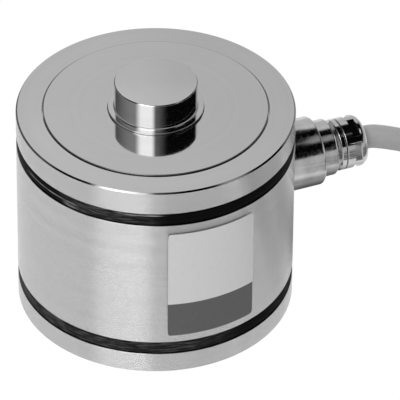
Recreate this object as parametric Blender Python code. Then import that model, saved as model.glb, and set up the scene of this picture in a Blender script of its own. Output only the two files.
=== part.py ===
"""Ring torsion load cell: a round steel can with a load button, a cable gland and its cable.

Units are metres, +Z is up. The origin is the centre of the can's flat underside.
"""
import math

import bmesh
import bpy
import numpy as np
from mathutils import Matrix, Vector

# Clearances
GAP = 0.0003            # between faces of neighbouring pieces
CABLE_CLEARANCE = 0.0003

# Smoothness of round pieces
CAN_STEPS = 48
TURNED_STEPS = 36
PART_STEPS = 28
SCREW_STEPS = 10
LARGE_ARC = 0.0025      # a rounding from this size up gets twice the steps
ARC_STEPS = 2

# The can: base, lower seal, sleeve, upper seal and head, from the floor up
BODY_RADIUS = 0.055
DISC_STEP = 0.0006      # the polished disc stands above the head ring
RIM_DROP = 0.0003       # the head ring slopes down to its rim
RIM_CHAMFER = 0.0006
BASE_EDGE = 0.0008
BASE_RIM_HEIGHT = 0.009
SEAL_HEIGHT = 0.0057
SLEEVE_HEIGHT = 0.0578
HEAD_RIM_HEIGHT = 0.011
HEAD_RIM_WIDTH = 0.0106
SLEEVE_WALL = 0.0047
EDGE_BREAK = 0.0004
SEAL_RECESS = 0.0002
SEAL_ROUNDING = 0.0012
BASE_FLOOR = 0.008
BASE_SPIGOT_REACH = 0.0045   # above the sleeve's lower end
HEAD_SPIGOT_REACH = 0.0065   # below the sleeve's upper end
HEAD_SPIGOT_WALL = 0.0045

# Load button and the disc round it
BUTTON_RADIUS = 0.0164
BUTTON_HEIGHT = 0.0127
BUTTON_EDGE = 0.0005
BUTTON_CROWN = 0.0003
FOOT_RADIUS = 0.0193
FOOT_STEP = 0.0004
FOOT_EDGE = 0.0001
LEDGE_WIDTH = 0.0028
LEDGE_HEIGHT = 0.0035
DISC_RIM = 0.003
DISC_RIM_WIDTH = 0.0035
DISC_THICKNESS = 0.0012

# Measuring ring: outer foot, outer lip below, ring, inner lip above, hub
FOOT_THICKNESS = 0.003
FOOT_OVERHANG = 0.003
LIP_HEIGHT = 0.003
LIP_WIDTH = 0.003
LIP_FILLET = 0.0008
RING_CLEARANCE = 0.0008      # between the foot and the sleeve
RING_WIDTH = 0.0195
CABLE_OVER_RING = 0.0013     # the cable passes above the ring
HUB_THICKNESS = 0.016
SOCKET_RADIUS = 0.013
SOCKET_DEPTH = 0.008

# Ring-shaped strain gauges and their wires
GAUGE_WIDTH = 0.006
GAUGE_MARGIN = 0.0015
GAUGE_THICKNESS = 0.0004
LEAD_RADIUS = 0.0005
LEAD_PORT_RADIUS = 0.0011
LEAD_ANGLES = (120, 180, 240, 300)

# Terminal board on the hub
BOARD_CLEARANCE = 0.0013
BOARD_OVERHANG = 0.006       # past the hub
BOARD_THICKNESS = 0.0016
SPACER_RADIUS = 0.0025
SPACER_HEIGHT = 0.004
SCREW_HEAD_RADIUS = 0.0022
SCREW_HEAD_HEIGHT = 0.0015
SCREW_RADIUS = 0.001
SCREW_MARGIN = 0.0045        # from the hub's edge
SCREW_ANGLES = (90, 210, 330)
SCREW_BITE = 0.004
RESISTOR_SIZE = (0.0064, 0.0032, 0.0012)
RESISTOR_MARGIN = 0.0075     # from the board's edge
RESISTOR_ANGLES = (150, 270, 250, 290)

# Cable entry: its axis is level and radial, turned from +X towards +Y
ENTRY_ANGLE = math.radians(22.1)
ENTRY_HEIGHT = 0.049
BOSS_RADIUS = 0.014
BOSS_LENGTH = 0.0134     # from the can's outer face
BOSS_ROUNDING = 0.0011
STEP_RADIUS = 0.0115
STEP_LENGTH = 0.0064
STEP_ROUNDING = 0.0009
SPIGOT_WALL = 0.0055

# Cable gland
WRENCH_FLAT = 0.0097     # half of the width across flats
WRENCH_TURN = math.radians(20)
GLAND_RADIUS = 0.0105
THREAD_RADIUS = 0.0078
THREAD_LENGTH = 0.0095
GASKET_THICKNESS = 0.0006
FLANGE_THICKNESS = 0.0027
FLANGE_BEVEL = 0.0018
FLANGE_BEVEL_LENGTH = 0.0013
BARREL_WALL = 0.0008
BARREL_LENGTH = 0.0055
CLAW_WALL = 0.0007
CLAW_COLLAR = 0.0015
CLAW_FINGERS = 8
CLAW_SLOT = 0.0009
CLAW_LENGTH = 0.0076
GRIP_LENGTH = 0.0066
NUT_COLLAR_LENGTH = 0.0034
NUT_WRENCH_LENGTH = 0.003
NUT_LAND = 0.0002        # between the flats and the dome
NUT_ROUNDING = 0.0032
NUT_LIP = 0.0016

# Cable
CABLE_RADIUS = 0.00475
CORE_RADIUS = 0.0008
CORE_COUNT = 4
INLET_REACH = 0.0063     # the cable's inner end, inside the sleeve
STRAIGHT_EXIT = 0.004
ROUTE_STEP = 0.019
TAIL_STEP = 0.012
END_STEP = 0.0065
WIRE_STEP = 0.004
TURN_PITCH = 0.0097
COIL_CENTRE = Vector((0.178, -0.025, 0.0))
COIL_LIFT = 0.0012
COIL_INNER_TRACK = 0.038
COIL_TRACKS = 3
COIL_LAYERS = 5
COIL_CORNER = 0.004
TIE_ANGLES = (-25, -140)
TIE_WIDTH = 0.0048
TIE_THICKNESS = 0.0007
TIE_HEAD = (0.0075, 0.0068, 0.0045)
SQUARE_END = math.radians(1)         # short first and last chords of an arc
TAIL_START = math.radians(-171)
TAIL_TURN = math.radians(62)
SLEEVE_TURN = math.radians(32)
END_SLEEVE_WALL = 0.0006
LEAD_TURN = math.radians(58)
LEAD_SPREAD = 0.0021
FERRULE_TURN = math.radians(13)

# Label
LABEL_START = math.radians(5.15)     # from -Y towards +X
LABEL_END = math.radians(43.3)
LABEL_LOW = 0.0185
LABEL_HIGH = 0.0684
LABEL_THICKNESS = 0.0003
LABEL_CORNER = 0.002
LABEL_STEPS = 14

# The cable's free route past the gland, chosen by hand: down to the floor, then to the coil
CABLE_ROUTE = [
    (0.0906, 0.0363, 0.0478), (0.0950, 0.0376, 0.0461), (0.0994, 0.0389, 0.0442),
    (0.1072, 0.0411, 0.0402), (0.1160, 0.0438, 0.0346), (0.1260, 0.0469, 0.0280),
    (0.1370, 0.0503, 0.0209), (0.1470, 0.0539, 0.0146), (0.1570, 0.0571, 0.0096),
    (0.1680, 0.0595, 0.0063), (0.1790, 0.0598, 0.0051), (0.1900, 0.0568, 0.0050),
    (0.2020, 0.0489, 0.0051),
]

FINISHES = {
    "brushed steel": ((0.55, 0.55, 0.56), 1.0, 0.32),
    "polished steel": ((0.60, 0.60, 0.61), 1.0, 0.14),
    "spring steel": ((0.48, 0.48, 0.49), 1.0, 0.38),
    "nickel plate": ((0.62, 0.61, 0.58), 1.0, 0.12),
    "black rubber": ((0.02, 0.02, 0.02), 0.0, 0.6),
    "cable sheath": ((0.34, 0.34, 0.35), 0.0, 0.5),
    "foil label": ((0.52, 0.52, 0.53), 0.4, 0.45),
    "gauge foil": ((0.60, 0.42, 0.16), 0.3, 0.4),
    "board green": ((0.03, 0.16, 0.07), 0.0, 0.4),
    "resistor black": ((0.03, 0.03, 0.03), 0.0, 0.35),
    "tie black": ((0.02, 0.02, 0.02), 0.0, 0.45),
    "tinned copper": ((0.65, 0.64, 0.62), 1.0, 0.25),
    "core red": ((0.50, 0.03, 0.02), 0.0, 0.45),
    "core black": ((0.02, 0.02, 0.02), 0.0, 0.45),
    "core green": ((0.02, 0.24, 0.06), 0.0, 0.45),
    "core white": ((0.75, 0.75, 0.72), 0.0, 0.45),
}
CORE_FINISHES = ("core red", "core black", "core green", "core white")


# Heights and radii that follow from the sizes above
sleeve_low = BASE_RIM_HEIGHT + SEAL_HEIGHT
sleeve_high = sleeve_low + SLEEVE_HEIGHT
head_low = sleeve_high + SEAL_HEIGHT
top = head_low + HEAD_RIM_HEIGHT
sleeve_inner = BODY_RADIUS - SLEEVE_WALL
spigot_radius = sleeve_inner - GAP
seam_radius = BODY_RADIUS - HEAD_RIM_WIDTH
seat = sleeve_low + BASE_SPIGOT_REACH

foot_low = seat + GAP
lip_low = foot_low + FOOT_THICKNESS
ring_low = lip_low + LIP_HEIGHT
ring_high = ENTRY_HEIGHT - CABLE_RADIUS - CABLE_OVER_RING
ring_outer = sleeve_inner - RING_CLEARANCE - FOOT_OVERHANG
ring_inner = ring_outer - RING_WIDTH
hub_low = ring_high + LIP_HEIGHT
hub_high = hub_low + HUB_THICKNESS
hub_radius = ring_inner + LIP_WIDTH

board_low = hub_high + GAP + SPACER_HEIGHT + GAP
board_high = board_low + BOARD_THICKNESS
board_outer = hub_radius + BOARD_OVERHANG
screw_circle = hub_radius - SCREW_MARGIN
resistor_circle = board_outer - RESISTOR_MARGIN

boss_end = BODY_RADIUS + BOSS_LENGTH
inlet_end = sleeve_inner - INLET_REACH
step_end = boss_end + STEP_LENGTH
gasket_low = step_end + GAP
flange_low = gasket_low + GASKET_THICKNESS + GAP
flange_high = flange_low + FLANGE_THICKNESS
nut_low = flange_high + GAP
nut_collar = nut_low + NUT_COLLAR_LENGTH
nut_dome = nut_collar + NUT_WRENCH_LENGTH
nut_high = nut_dome + NUT_LAND + NUT_ROUNDING
cable_bore = CABLE_RADIUS + CABLE_CLEARANCE
barrel_bore = THREAD_RADIUS - BARREL_WALL
claw_outer = barrel_bore - GAP
claw_inner = claw_outer - CLAW_WALL
spigot_outer = cable_bore + SPIGOT_WALL

coil_outer_track = COIL_INNER_TRACK + COIL_TRACKS * TURN_PITCH
coil_low = COIL_LIFT
coil_high = COIL_LIFT + (COIL_LAYERS - 1) * TURN_PITCH + 2 * CABLE_RADIUS
coil_inner = COIL_INNER_TRACK - CABLE_RADIUS
coil_outer = coil_outer_track + CABLE_RADIUS
tail_height = coil_high - CABLE_RADIUS


# Scene and materials
def clear_scene():
    for obj in list(bpy.data.objects):
        bpy.data.objects.remove(obj, do_unlink=True)


def material(name, finish):
    colour, metallic, roughness = FINISHES[finish]
    mat = bpy.data.materials.new(name)
    mat.use_nodes = True
    shader = mat.node_tree.nodes["Principled BSDF"]
    shader.inputs["Base Color"].default_value = (*colour, 1.0)
    shader.inputs["Metallic"].default_value = metallic
    shader.inputs["Roughness"].default_value = roughness
    mat.diffuse_color = (*colour, 1.0)
    return mat


def add_object(name, bm, finish=None, parent=None, sharp=35):
    """Turn a bmesh into a named object, smooth but for its sharp edges."""
    mesh = bpy.data.meshes.new(name)
    bm.to_mesh(mesh)
    bm.free()
    mesh.shade_smooth()
    mesh.set_sharp_from_angle(angle=math.radians(sharp))
    obj = bpy.data.objects.new(name, mesh)
    bpy.context.collection.objects.link(obj)
    obj.parent = parent
    if finish:
        mesh.materials.append(material(name, finish))
    return obj


def boolean(obj, cutter, operation="DIFFERENCE"):
    """Cut, join or trim obj with a hidden helper."""
    cutter.hide_render = True
    cutter.display_type = "WIRE"
    mod = obj.modifiers.new(cutter.name, "BOOLEAN")
    mod.operation = operation
    mod.solver = "EXACT"
    mod.object = cutter


# Turned pieces
def outline(corners):
    """Points of a closed outline; a corner (r, z, size) is rounded with that radius."""
    points = []
    count = len(corners)
    for i, corner in enumerate(corners):
        here = Vector(corner[:2])
        if len(corner) < 3:
            points.append(here)
            continue
        before = (Vector(corners[i - 1][:2]) - here).normalized()
        after = (Vector(corners[(i + 1) % count][:2]) - here).normalized()
        half = before.angle(after) / 2
        reach = corner[2] / math.tan(half)
        centre = here + (before + after).normalized() * (corner[2] / math.sin(half))
        start = here + before * reach - centre
        end = here + after * reach - centre
        swing = start.angle_signed(end)
        steps = 2 * ARC_STEPS if corner[2] >= LARGE_ARC else ARC_STEPS
        for k in range(steps + 1):
            turned = start.copy()
            turned.rotate(Matrix.Rotation(-swing * k / steps, 2))
            points.append(centre + turned)
    return points


def turned_mesh(corners, steps, angle=2 * math.pi):
    """Spin a closed outline in the XZ plane about Z."""
    bm = bmesh.new()
    verts = [bm.verts.new((p.x, 0.0, p.y)) for p in outline(corners)]
    edges = [bm.edges.new((verts[i - 1], verts[i])) for i in range(len(verts))]
    full = angle >= 2 * math.pi
    bmesh.ops.spin(bm, geom=verts + edges, cent=(0, 0, 0), axis=(0, 0, 1), dvec=(0, 0, 0),
                   angle=angle, steps=steps, use_merge=full, use_duplicate=False)
    bmesh.ops.remove_doubles(bm, verts=bm.verts, dist=1e-7)
    open_edges = [e for e in bm.edges if e.is_boundary]
    if open_edges:
        bmesh.ops.holes_fill(bm, edges=open_edges, sides=0)
    bmesh.ops.recalc_face_normals(bm, faces=bm.faces)
    return bm


def turned(name, corners, finish=None, steps=PART_STEPS, parent=None, sharp=35):
    return add_object(name, turned_mesh(corners, steps), finish, parent, sharp)


def tube_corners(inner, outer, low, high, rounding=None):
    corners = [(inner, low), (outer, low), (outer, high), (inner, high)]
    if rounding:
        corners[1] = (outer, low, rounding)
        corners[2] = (outer, high, rounding)
    return corners


def rod_corners(radius, low, high):
    return [(0.0, low), (radius, low), (radius, high), (0.0, high)]


def cylinder(name, radius, low, high, parent=None, steps=PART_STEPS):
    return turned(name, rod_corners(radius, low, high), steps=steps, parent=parent)


def block(name, size, centre, angle=0.0, finish=None, parent=None, edge=0.0):
    bm = bmesh.new()
    bmesh.ops.create_cube(bm, size=1.0, matrix=Matrix.Diagonal((*size, 1.0)))
    if edge:
        bmesh.ops.bevel(bm, geom=bm.edges[:], offset=edge, segments=1, profile=0.5,
                        affect="EDGES", material=-1)
    obj = add_object(name, bm, finish, parent)
    obj.location = centre
    obj.rotation_euler.z = angle
    return obj


def on_circle(radius, degrees, height):
    angle = math.radians(degrees)
    return Vector((radius * math.cos(angle), radius * math.sin(angle), height))


# Cables and wires
def smooth_route(points, step):
    """Points at equal steps along a smooth curve through the given points."""
    knots = np.array([2 * np.array(points[0]) - points[1], *points,
                      2 * np.array(points[-1]) - points[-2]])
    dense = []
    for a, b, c, d in zip(knots, knots[1:], knots[2:], knots[3:]):
        for t in np.linspace(0, 1, 12, endpoint=False):
            dense.append(0.5 * (2 * b + (c - a) * t + (2 * a - 5 * b + 4 * c - d) * t ** 2
                                + (3 * b - a - 3 * c + d) * t ** 3))
    dense.append(knots[-2])
    dense = np.array(dense)
    travelled = np.r_[0, np.cumsum(np.linalg.norm(np.diff(dense, axis=0), axis=1))]
    count = max(3, round(travelled[-1] / step) + 1)
    marks = np.linspace(0, travelled[-1], count)
    return [tuple(np.interp(m, travelled, dense[:, k]) for k in range(3)) for m in marks]


def wire(name, points, radius, finish, parent=None, resolution=1):
    curve = bpy.data.curves.new(name, "CURVE")
    curve.dimensions = "3D"
    curve.bevel_depth = radius
    curve.bevel_resolution = resolution
    curve.use_fill_caps = True
    spline = curve.splines.new("POLY")
    spline.points.add(len(points) - 1)
    for slot, point in zip(spline.points, points):
        slot.co = (*point, 1.0)
    curve.materials.append(material(name, finish))
    obj = bpy.data.objects.new(name, curve)
    bpy.context.collection.objects.link(obj)
    obj.parent = parent
    return obj


# The can
def make_base_plate():
    seat_inner = ring_outer - LIP_WIDTH - FOOT_OVERHANG
    turned("base_plate", [
        (0.0, 0.0), (BODY_RADIUS - BASE_EDGE, 0.0), (BODY_RADIUS, BASE_EDGE),
        (BODY_RADIUS, BASE_RIM_HEIGHT), (spigot_radius, BASE_RIM_HEIGHT),
        (spigot_radius, seat), (seat_inner, seat), (seat_inner, BASE_FLOOR),
        (0.0, BASE_FLOOR)], "brushed steel", CAN_STEPS)


def make_seal(name, low):
    turned(name, tube_corners(spigot_radius + GAP, BODY_RADIUS - SEAL_RECESS, low + GAP,
                              low + SEAL_HEIGHT - GAP, SEAL_ROUNDING), "black rubber", CAN_STEPS)


def make_sleeve(entry):
    corners = tube_corners(sleeve_inner, BODY_RADIUS, sleeve_low, sleeve_high)
    corners[1:3] = [(BODY_RADIUS - EDGE_BREAK, sleeve_low),
                    (BODY_RADIUS, sleeve_low + EDGE_BREAK),
                    (BODY_RADIUS, sleeve_high - EDGE_BREAK),
                    (BODY_RADIUS - EDGE_BREAK, sleeve_high)]
    sleeve = turned("sleeve", corners, "brushed steel", CAN_STEPS)
    port = cylinder("sleeve_port", spigot_outer + GAP, sleeve_inner / 2, BODY_RADIUS * 1.2,
                    entry)
    boolean(sleeve, port)


def make_head_ring():
    ledge = top - DISC_RIM - GAP
    inner = spigot_radius - HEAD_SPIGOT_WALL
    spigot_low = sleeve_high - HEAD_SPIGOT_REACH
    rim = seam_radius + GAP / 2
    ring_top = top - DISC_STEP
    turned("head_ring", [
        (rim, ring_top), (rim, ledge), (rim - LEDGE_WIDTH, ledge),
        (rim - LEDGE_WIDTH, ledge - LEDGE_HEIGHT), (inner, ledge - LEDGE_HEIGHT),
        (inner, spigot_low), (spigot_radius, spigot_low), (spigot_radius, head_low),
        (BODY_RADIUS, head_low), (BODY_RADIUS, ring_top - RIM_DROP - RIM_CHAMFER),
        (BODY_RADIUS - RIM_CHAMFER, ring_top - RIM_DROP)], "brushed steel", CAN_STEPS)


def make_top_diaphragm():
    inner = FOOT_RADIUS + GAP
    outer = seam_radius - GAP / 2
    rim_low = top - DISC_RIM
    web_low = top - DISC_THICKNESS
    turned("top_diaphragm", [
        (inner, top), (inner, rim_low), (inner + DISC_RIM_WIDTH, rim_low),
        (inner + DISC_RIM_WIDTH, web_low), (outer - DISC_RIM_WIDTH, web_low),
        (outer - DISC_RIM_WIDTH, rim_low), (outer, rim_low), (outer, top)],
        "polished steel", CAN_STEPS)


def make_load_button():
    """Stud with a socket pin below, a shoulder on the hub, a flared foot and a crowned top."""
    pin = SOCKET_RADIUS - GAP
    flare = FOOT_RADIUS - BUTTON_RADIUS
    foot_top = top + FOOT_STEP
    edge_height = top + BUTTON_HEIGHT - BUTTON_CROWN
    crown_radius = BUTTON_RADIUS - BUTTON_EDGE
    crown = [(crown_radius * part, top + BUTTON_HEIGHT - BUTTON_CROWN * part ** 2)
             for part in (1.0, 0.5, 0.0)]
    turned("load_button", [
        (0.0, hub_high - SOCKET_DEPTH + GAP), (pin, hub_high - SOCKET_DEPTH + GAP),
        (pin, hub_high + GAP), (FOOT_RADIUS, hub_high + GAP), (FOOT_RADIUS, foot_top),
        (BUTTON_RADIUS, foot_top, flare - FOOT_EDGE),
        (BUTTON_RADIUS, edge_height - BUTTON_EDGE), *crown], "polished steel", TURNED_STEPS)


# The measuring ring and its wiring
def make_torsion_ring():
    lip_inner = ring_outer - LIP_WIDTH
    ring = turned("torsion_ring", [
        (0.0, hub_high - SOCKET_DEPTH), (SOCKET_RADIUS, hub_high - SOCKET_DEPTH),
        (SOCKET_RADIUS, hub_high), (hub_radius, hub_high),
        (hub_radius, ring_high, LIP_FILLET), (ring_outer, ring_high),
        (ring_outer, lip_low, LIP_FILLET), (ring_outer + FOOT_OVERHANG, lip_low),
        (ring_outer + FOOT_OVERHANG, foot_low), (lip_inner - FOOT_OVERHANG, foot_low),
        (lip_inner - FOOT_OVERHANG, lip_low), (lip_inner, lip_low, LIP_FILLET),
        (lip_inner, ring_low, LIP_FILLET), (ring_inner, ring_low), (ring_inner, hub_low),
        (0.0, hub_low)], "spring steel", TURNED_STEPS)
    for number, angle in enumerate(LEAD_ANGLES[2:], 3):
        port = cylinder(f"lead_port_{number}", LEAD_PORT_RADIUS, lip_inner - LIP_WIDTH,
                        ring_outer + LIP_WIDTH, steps=SCREW_STEPS)
        port.rotation_euler = (0, math.pi / 2, math.radians(angle))
        port.location.z = (lip_low + ring_low) / 2
        boolean(ring, port)
    for number, angle in enumerate(SCREW_ANGLES, 1):
        hole = cylinder(f"hub_hole_{number}", SCREW_RADIUS + GAP, hub_high - SCREW_BITE - GAP,
                        hub_high + SCREW_BITE, steps=SCREW_STEPS)
        hole.location = on_circle(screw_circle, angle, 0.0)
        boolean(ring, hole)


def make_gauges():
    top_low = ring_high + GAP
    bottom_low = ring_low - GAP - GAUGE_THICKNESS
    next_track = GAUGE_WIDTH + GAUGE_MARGIN
    places = {
        "gauge_top_inner": (hub_radius + GAUGE_MARGIN, top_low),
        "gauge_top_outer": (hub_radius + GAUGE_MARGIN + next_track, top_low),
        "gauge_bottom_inner": (ring_inner + GAUGE_MARGIN, bottom_low),
        "gauge_bottom_outer": (ring_inner + GAUGE_MARGIN + next_track, bottom_low),
    }
    for name, (inner, low) in places.items():
        turned(name, tube_corners(inner, inner + GAUGE_WIDTH, low, low + GAUGE_THICKNESS),
               "gauge foil")
    return places


def make_gauge_leads(places):
    """The upper gauges' wires go straight up, the lower ones out through the lip and up."""
    under_board = board_low - GAP
    at_board = board_outer - 3 * LEAD_RADIUS
    outside = (ring_outer + sleeve_inner) / 2
    port_height = (lip_low + ring_low) / 2
    clear = GAUGE_THICKNESS + GAP + LEAD_RADIUS
    for number, (angle, (inner, low)) in enumerate(zip(LEAD_ANGLES, places.values()), 1):
        middle = inner + GAUGE_WIDTH / 2
        if low > ring_high:
            route = [(middle, low + clear - LEAD_RADIUS), (middle, hub_low + LIP_HEIGHT),
                     (at_board, board_low - SPACER_HEIGHT), (at_board, under_board)]
        else:
            route = [(middle, port_height), (ring_outer - LIP_WIDTH, port_height),
                     (ring_outer, port_height), (outside, ring_low), (outside, ring_high),
                     (outside, hub_low + LIP_HEIGHT), (at_board + LIP_WIDTH, hub_high),
                     (at_board, under_board)]
        turn = math.radians(angle)
        points = [(r * math.cos(turn), r * math.sin(turn), z) for r, z in route]
        wire(f"gauge_lead_{number}", smooth_route(points, WIRE_STEP), LEAD_RADIUS, "core white")


def make_terminal_board():
    board = turned("terminal_board", tube_corners(FOOT_RADIUS + BOARD_CLEARANCE, board_outer,
                                                  board_low, board_high), "board green",
                   TURNED_STEPS)
    for number, angle in enumerate(SCREW_ANGLES, 1):
        place = on_circle(screw_circle, angle, 0.0)
        hole = cylinder(f"board_hole_{number}", SCREW_RADIUS + GAP, board_low - SPACER_HEIGHT,
                        board_high + SPACER_HEIGHT, steps=SCREW_STEPS)
        hole.location = place
        boolean(board, hole)
        spacer = turned(f"board_spacer_{number}", tube_corners(
            SCREW_RADIUS + GAP, SPACER_RADIUS, hub_high + GAP, board_low - GAP),
            "tinned copper", SCREW_STEPS)
        spacer.location = place
        head_low_face = board_high + GAP
        screw = turned(f"board_screw_{number}", [
            (0.0, hub_high - SCREW_BITE), (SCREW_RADIUS, hub_high - SCREW_BITE),
            (SCREW_RADIUS, head_low_face), (SCREW_HEAD_RADIUS, head_low_face),
            (SCREW_HEAD_RADIUS, head_low_face + SCREW_HEAD_HEIGHT),
            (0.0, head_low_face + SCREW_HEAD_HEIGHT)], "tinned copper", SCREW_STEPS)
        screw.location = place
    for number, angle in enumerate(RESISTOR_ANGLES, 1):
        height = board_high + GAP + RESISTOR_SIZE[2] / 2
        block(f"trim_resistor_{number}", RESISTOR_SIZE,
              on_circle(resistor_circle, angle, height),
              math.radians(angle + 90), "resistor black", edge=0.0002)


# The cable entry, made along Z and turned level by its empty
def make_entry_axis():
    axis = bpy.data.objects.new("entry_axis", None)
    axis.location = (0, 0, ENTRY_HEIGHT)
    axis.rotation_euler = (0, math.pi / 2, ENTRY_ANGLE)
    bpy.context.collection.objects.link(axis)
    return axis


def make_cable_boss(entry):
    """Two turned steps, coped to the sleeve, with a spigot through the sleeve's port."""
    boss = turned("cable_boss", [
        (0.0, sleeve_inner), (BOSS_RADIUS, sleeve_inner), (BOSS_RADIUS, boss_end, BOSS_ROUNDING),
        (STEP_RADIUS, boss_end), (STEP_RADIUS, step_end, STEP_ROUNDING), (0.0, step_end)],
        "brushed steel", PART_STEPS, entry)
    can = cylinder("cope_cutter", BODY_RADIUS + GAP, 0.0, top, steps=CAN_STEPS)
    boolean(boss, can)
    spigot = cylinder("boss_spigot", spigot_outer, sleeve_inner - GAP,
                      (BODY_RADIUS + boss_end) / 2, entry)
    boolean(boss, spigot, "UNION")
    bore = turned("boss_bore", [
        (0.0, inlet_end), (cable_bore, inlet_end),
        (cable_bore, step_end - THREAD_LENGTH - GAP),
        (THREAD_RADIUS + GAP, step_end - THREAD_LENGTH - GAP),
        (THREAD_RADIUS + GAP, nut_high), (0.0, nut_high)], parent=entry)
    boolean(boss, bore)


def cut_wrench_flats(obj, low, high, entry):
    """Six flats between two stations of the entry's axis."""
    depth = GLAND_RADIUS
    for side in range(6):
        angle = math.pi - WRENCH_TURN + side * math.pi / 3
        reach = WRENCH_FLAT + depth / 2
        cutter = block(f"{obj.name}_flat_{side + 1}", (depth, 2 * GLAND_RADIUS, high - low),
                       (reach * math.cos(angle), reach * math.sin(angle), (low + high) / 2),
                       angle, parent=entry)
        boolean(obj, cutter)


def make_gland_body(entry):
    turned("gland_body", [
        (cable_bore, step_end - THREAD_LENGTH), (THREAD_RADIUS, step_end - THREAD_LENGTH),
        (THREAD_RADIUS, flange_low), (GLAND_RADIUS - FLANGE_BEVEL, flange_low),
        (GLAND_RADIUS, flange_low + FLANGE_BEVEL_LENGTH), (GLAND_RADIUS, flange_high - EDGE_BREAK),
        (GLAND_RADIUS - EDGE_BREAK, flange_high), (THREAD_RADIUS, flange_high),
        (THREAD_RADIUS, flange_high + BARREL_LENGTH), (barrel_bore, flange_high + BARREL_LENGTH),
        (barrel_bore, flange_low), (cable_bore, flange_low)],
        "nickel plate", PART_STEPS, entry)


def make_gland_nut(entry):
    bore = THREAD_RADIUS + GAP
    mouth = cable_bore
    nut = turned("gland_nut", [
        (bore, nut_low), (GLAND_RADIUS - EDGE_BREAK, nut_low),
        (GLAND_RADIUS, nut_low + EDGE_BREAK), (GLAND_RADIUS, nut_high, NUT_ROUNDING),
        (mouth, nut_high), (mouth, nut_high - NUT_LIP),
        (bore, nut_high - NUT_LIP - (bore - mouth))],
        "nickel plate", PART_STEPS, entry)
    cut_wrench_flats(nut, nut_collar, nut_dome, entry)


def make_gland_inside(entry):
    claw_low = flange_low + GAP
    turned("gland_gasket", tube_corners(THREAD_RADIUS + GAP, GLAND_RADIUS - FLANGE_BEVEL,
                                        gasket_low, gasket_low + GASKET_THICKNESS),
           "black rubber", PART_STEPS, entry)
    claw = turned("gland_claw", tube_corners(claw_inner, claw_outer, claw_low,
                                             claw_low + CLAW_LENGTH),
                  "resistor black", PART_STEPS, entry)
    slot_low = claw_low + CLAW_COLLAR
    slot_high = claw_low + CLAW_LENGTH + GAP
    for number in range(CLAW_FINGERS // 2):
        slot = block(f"claw_slot_{number + 1}",
                     (4 * claw_outer, CLAW_SLOT, slot_high - slot_low),
                     (0, 0, (slot_low + slot_high) / 2), number * 2 * math.pi / CLAW_FINGERS,
                     parent=entry)
        boolean(claw, slot)
    turned("gland_seal", tube_corners(cable_bore, claw_inner - GAP, claw_low,
                                      claw_low + GRIP_LENGTH), "black rubber", PART_STEPS, entry)
    turned("cable_inlet", rod_corners(CABLE_RADIUS, inlet_end, nut_high - GAP),
           "cable sheath", PART_STEPS, entry)


def make_signal_cores(entry):
    """From the cable's inner end up to the terminal board, in the entry's own axes."""
    rise = board_low - GAP - ENTRY_HEIGHT
    at_board = board_outer - 2 * CORE_RADIUS
    for number, finish in enumerate(CORE_FINISHES, 1):
        side = (number - (CORE_COUNT + 1) / 2) * (2 * CORE_RADIUS + GAP)
        start = inlet_end - GAP
        points = [(0.0, side, start - CORE_RADIUS), (-0.1 * rise, side, start - 4 * CORE_RADIUS),
                  (-0.45 * rise, side, (start + at_board) / 2 - CORE_RADIUS),
                  (-0.75 * rise, side, at_board), (-rise, side, at_board)]
        wire(f"signal_core_{number}", [(0.0, side, start), *smooth_route(points, WIRE_STEP)],
             CORE_RADIUS, finish, entry)


# The label, a thin sheet bent round the sleeve
def make_label():
    inner = BODY_RADIUS + GAP
    span = LABEL_END - LABEL_START
    bm = turned_mesh(tube_corners(inner, inner + LABEL_THICKNESS, LABEL_LOW, LABEL_HIGH),
                     LABEL_STEPS, span)

    def at_end(vert):
        turn = math.atan2(vert.co.y, vert.co.x)
        return min(abs(turn), abs(turn - span)) < LABEL_THICKNESS

    corners = [e for e in bm.edges
               if e.calc_length() < 1.01 * LABEL_THICKNESS and at_end(e.verts[0])]
    bmesh.ops.bevel(bm, geom=corners, offset=LABEL_CORNER, segments=2 * ARC_STEPS,
                    profile=0.5, affect="EDGES", material=-1)
    bmesh.ops.rotate(bm, verts=bm.verts, cent=(0, 0, 0),
                     matrix=Matrix.Rotation(LABEL_START - math.pi / 2, 3, "Z"))
    add_object("label", bm, "foil label", sharp=60)


# The cable outside the can
def make_cable():
    leaving = [on_circle(reach, math.degrees(ENTRY_ANGLE), ENTRY_HEIGHT)
               for reach in (nut_high, nut_high + STRAIGHT_EXIT)]
    wire("cable_run", [*leaving, *smooth_route(CABLE_ROUTE, ROUTE_STEP)], CABLE_RADIUS,
         "cable sheath", resolution=4)
    step_in = coil_outer_track - 2 * TURN_PITCH - CABLE_RADIUS
    step_low = coil_high - 2 * CABLE_RADIUS
    coil = turned("cable_coil", [
        (coil_inner, coil_low, COIL_CORNER), (coil_outer, coil_low, COIL_CORNER),
        (coil_outer, coil_high, COIL_CORNER), (step_in, coil_high), (step_in, step_low),
        (coil_inner, step_low)], "cable sheath", TURNED_STEPS)
    coil.location = COIL_CENTRE


def coil_arc(radius, start, turn, height, step):
    """Points along an arc of the coil, clockwise seen from above, with square ends."""
    count = max(3, round(radius * turn / step) + 1)
    marks = [0.0, *np.linspace(SQUARE_END, turn - SQUARE_END, count), turn]
    return [COIL_CENTRE + Vector((radius * math.cos(start - mark),
                                  radius * math.sin(start - mark), height)) for mark in marks]


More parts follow.
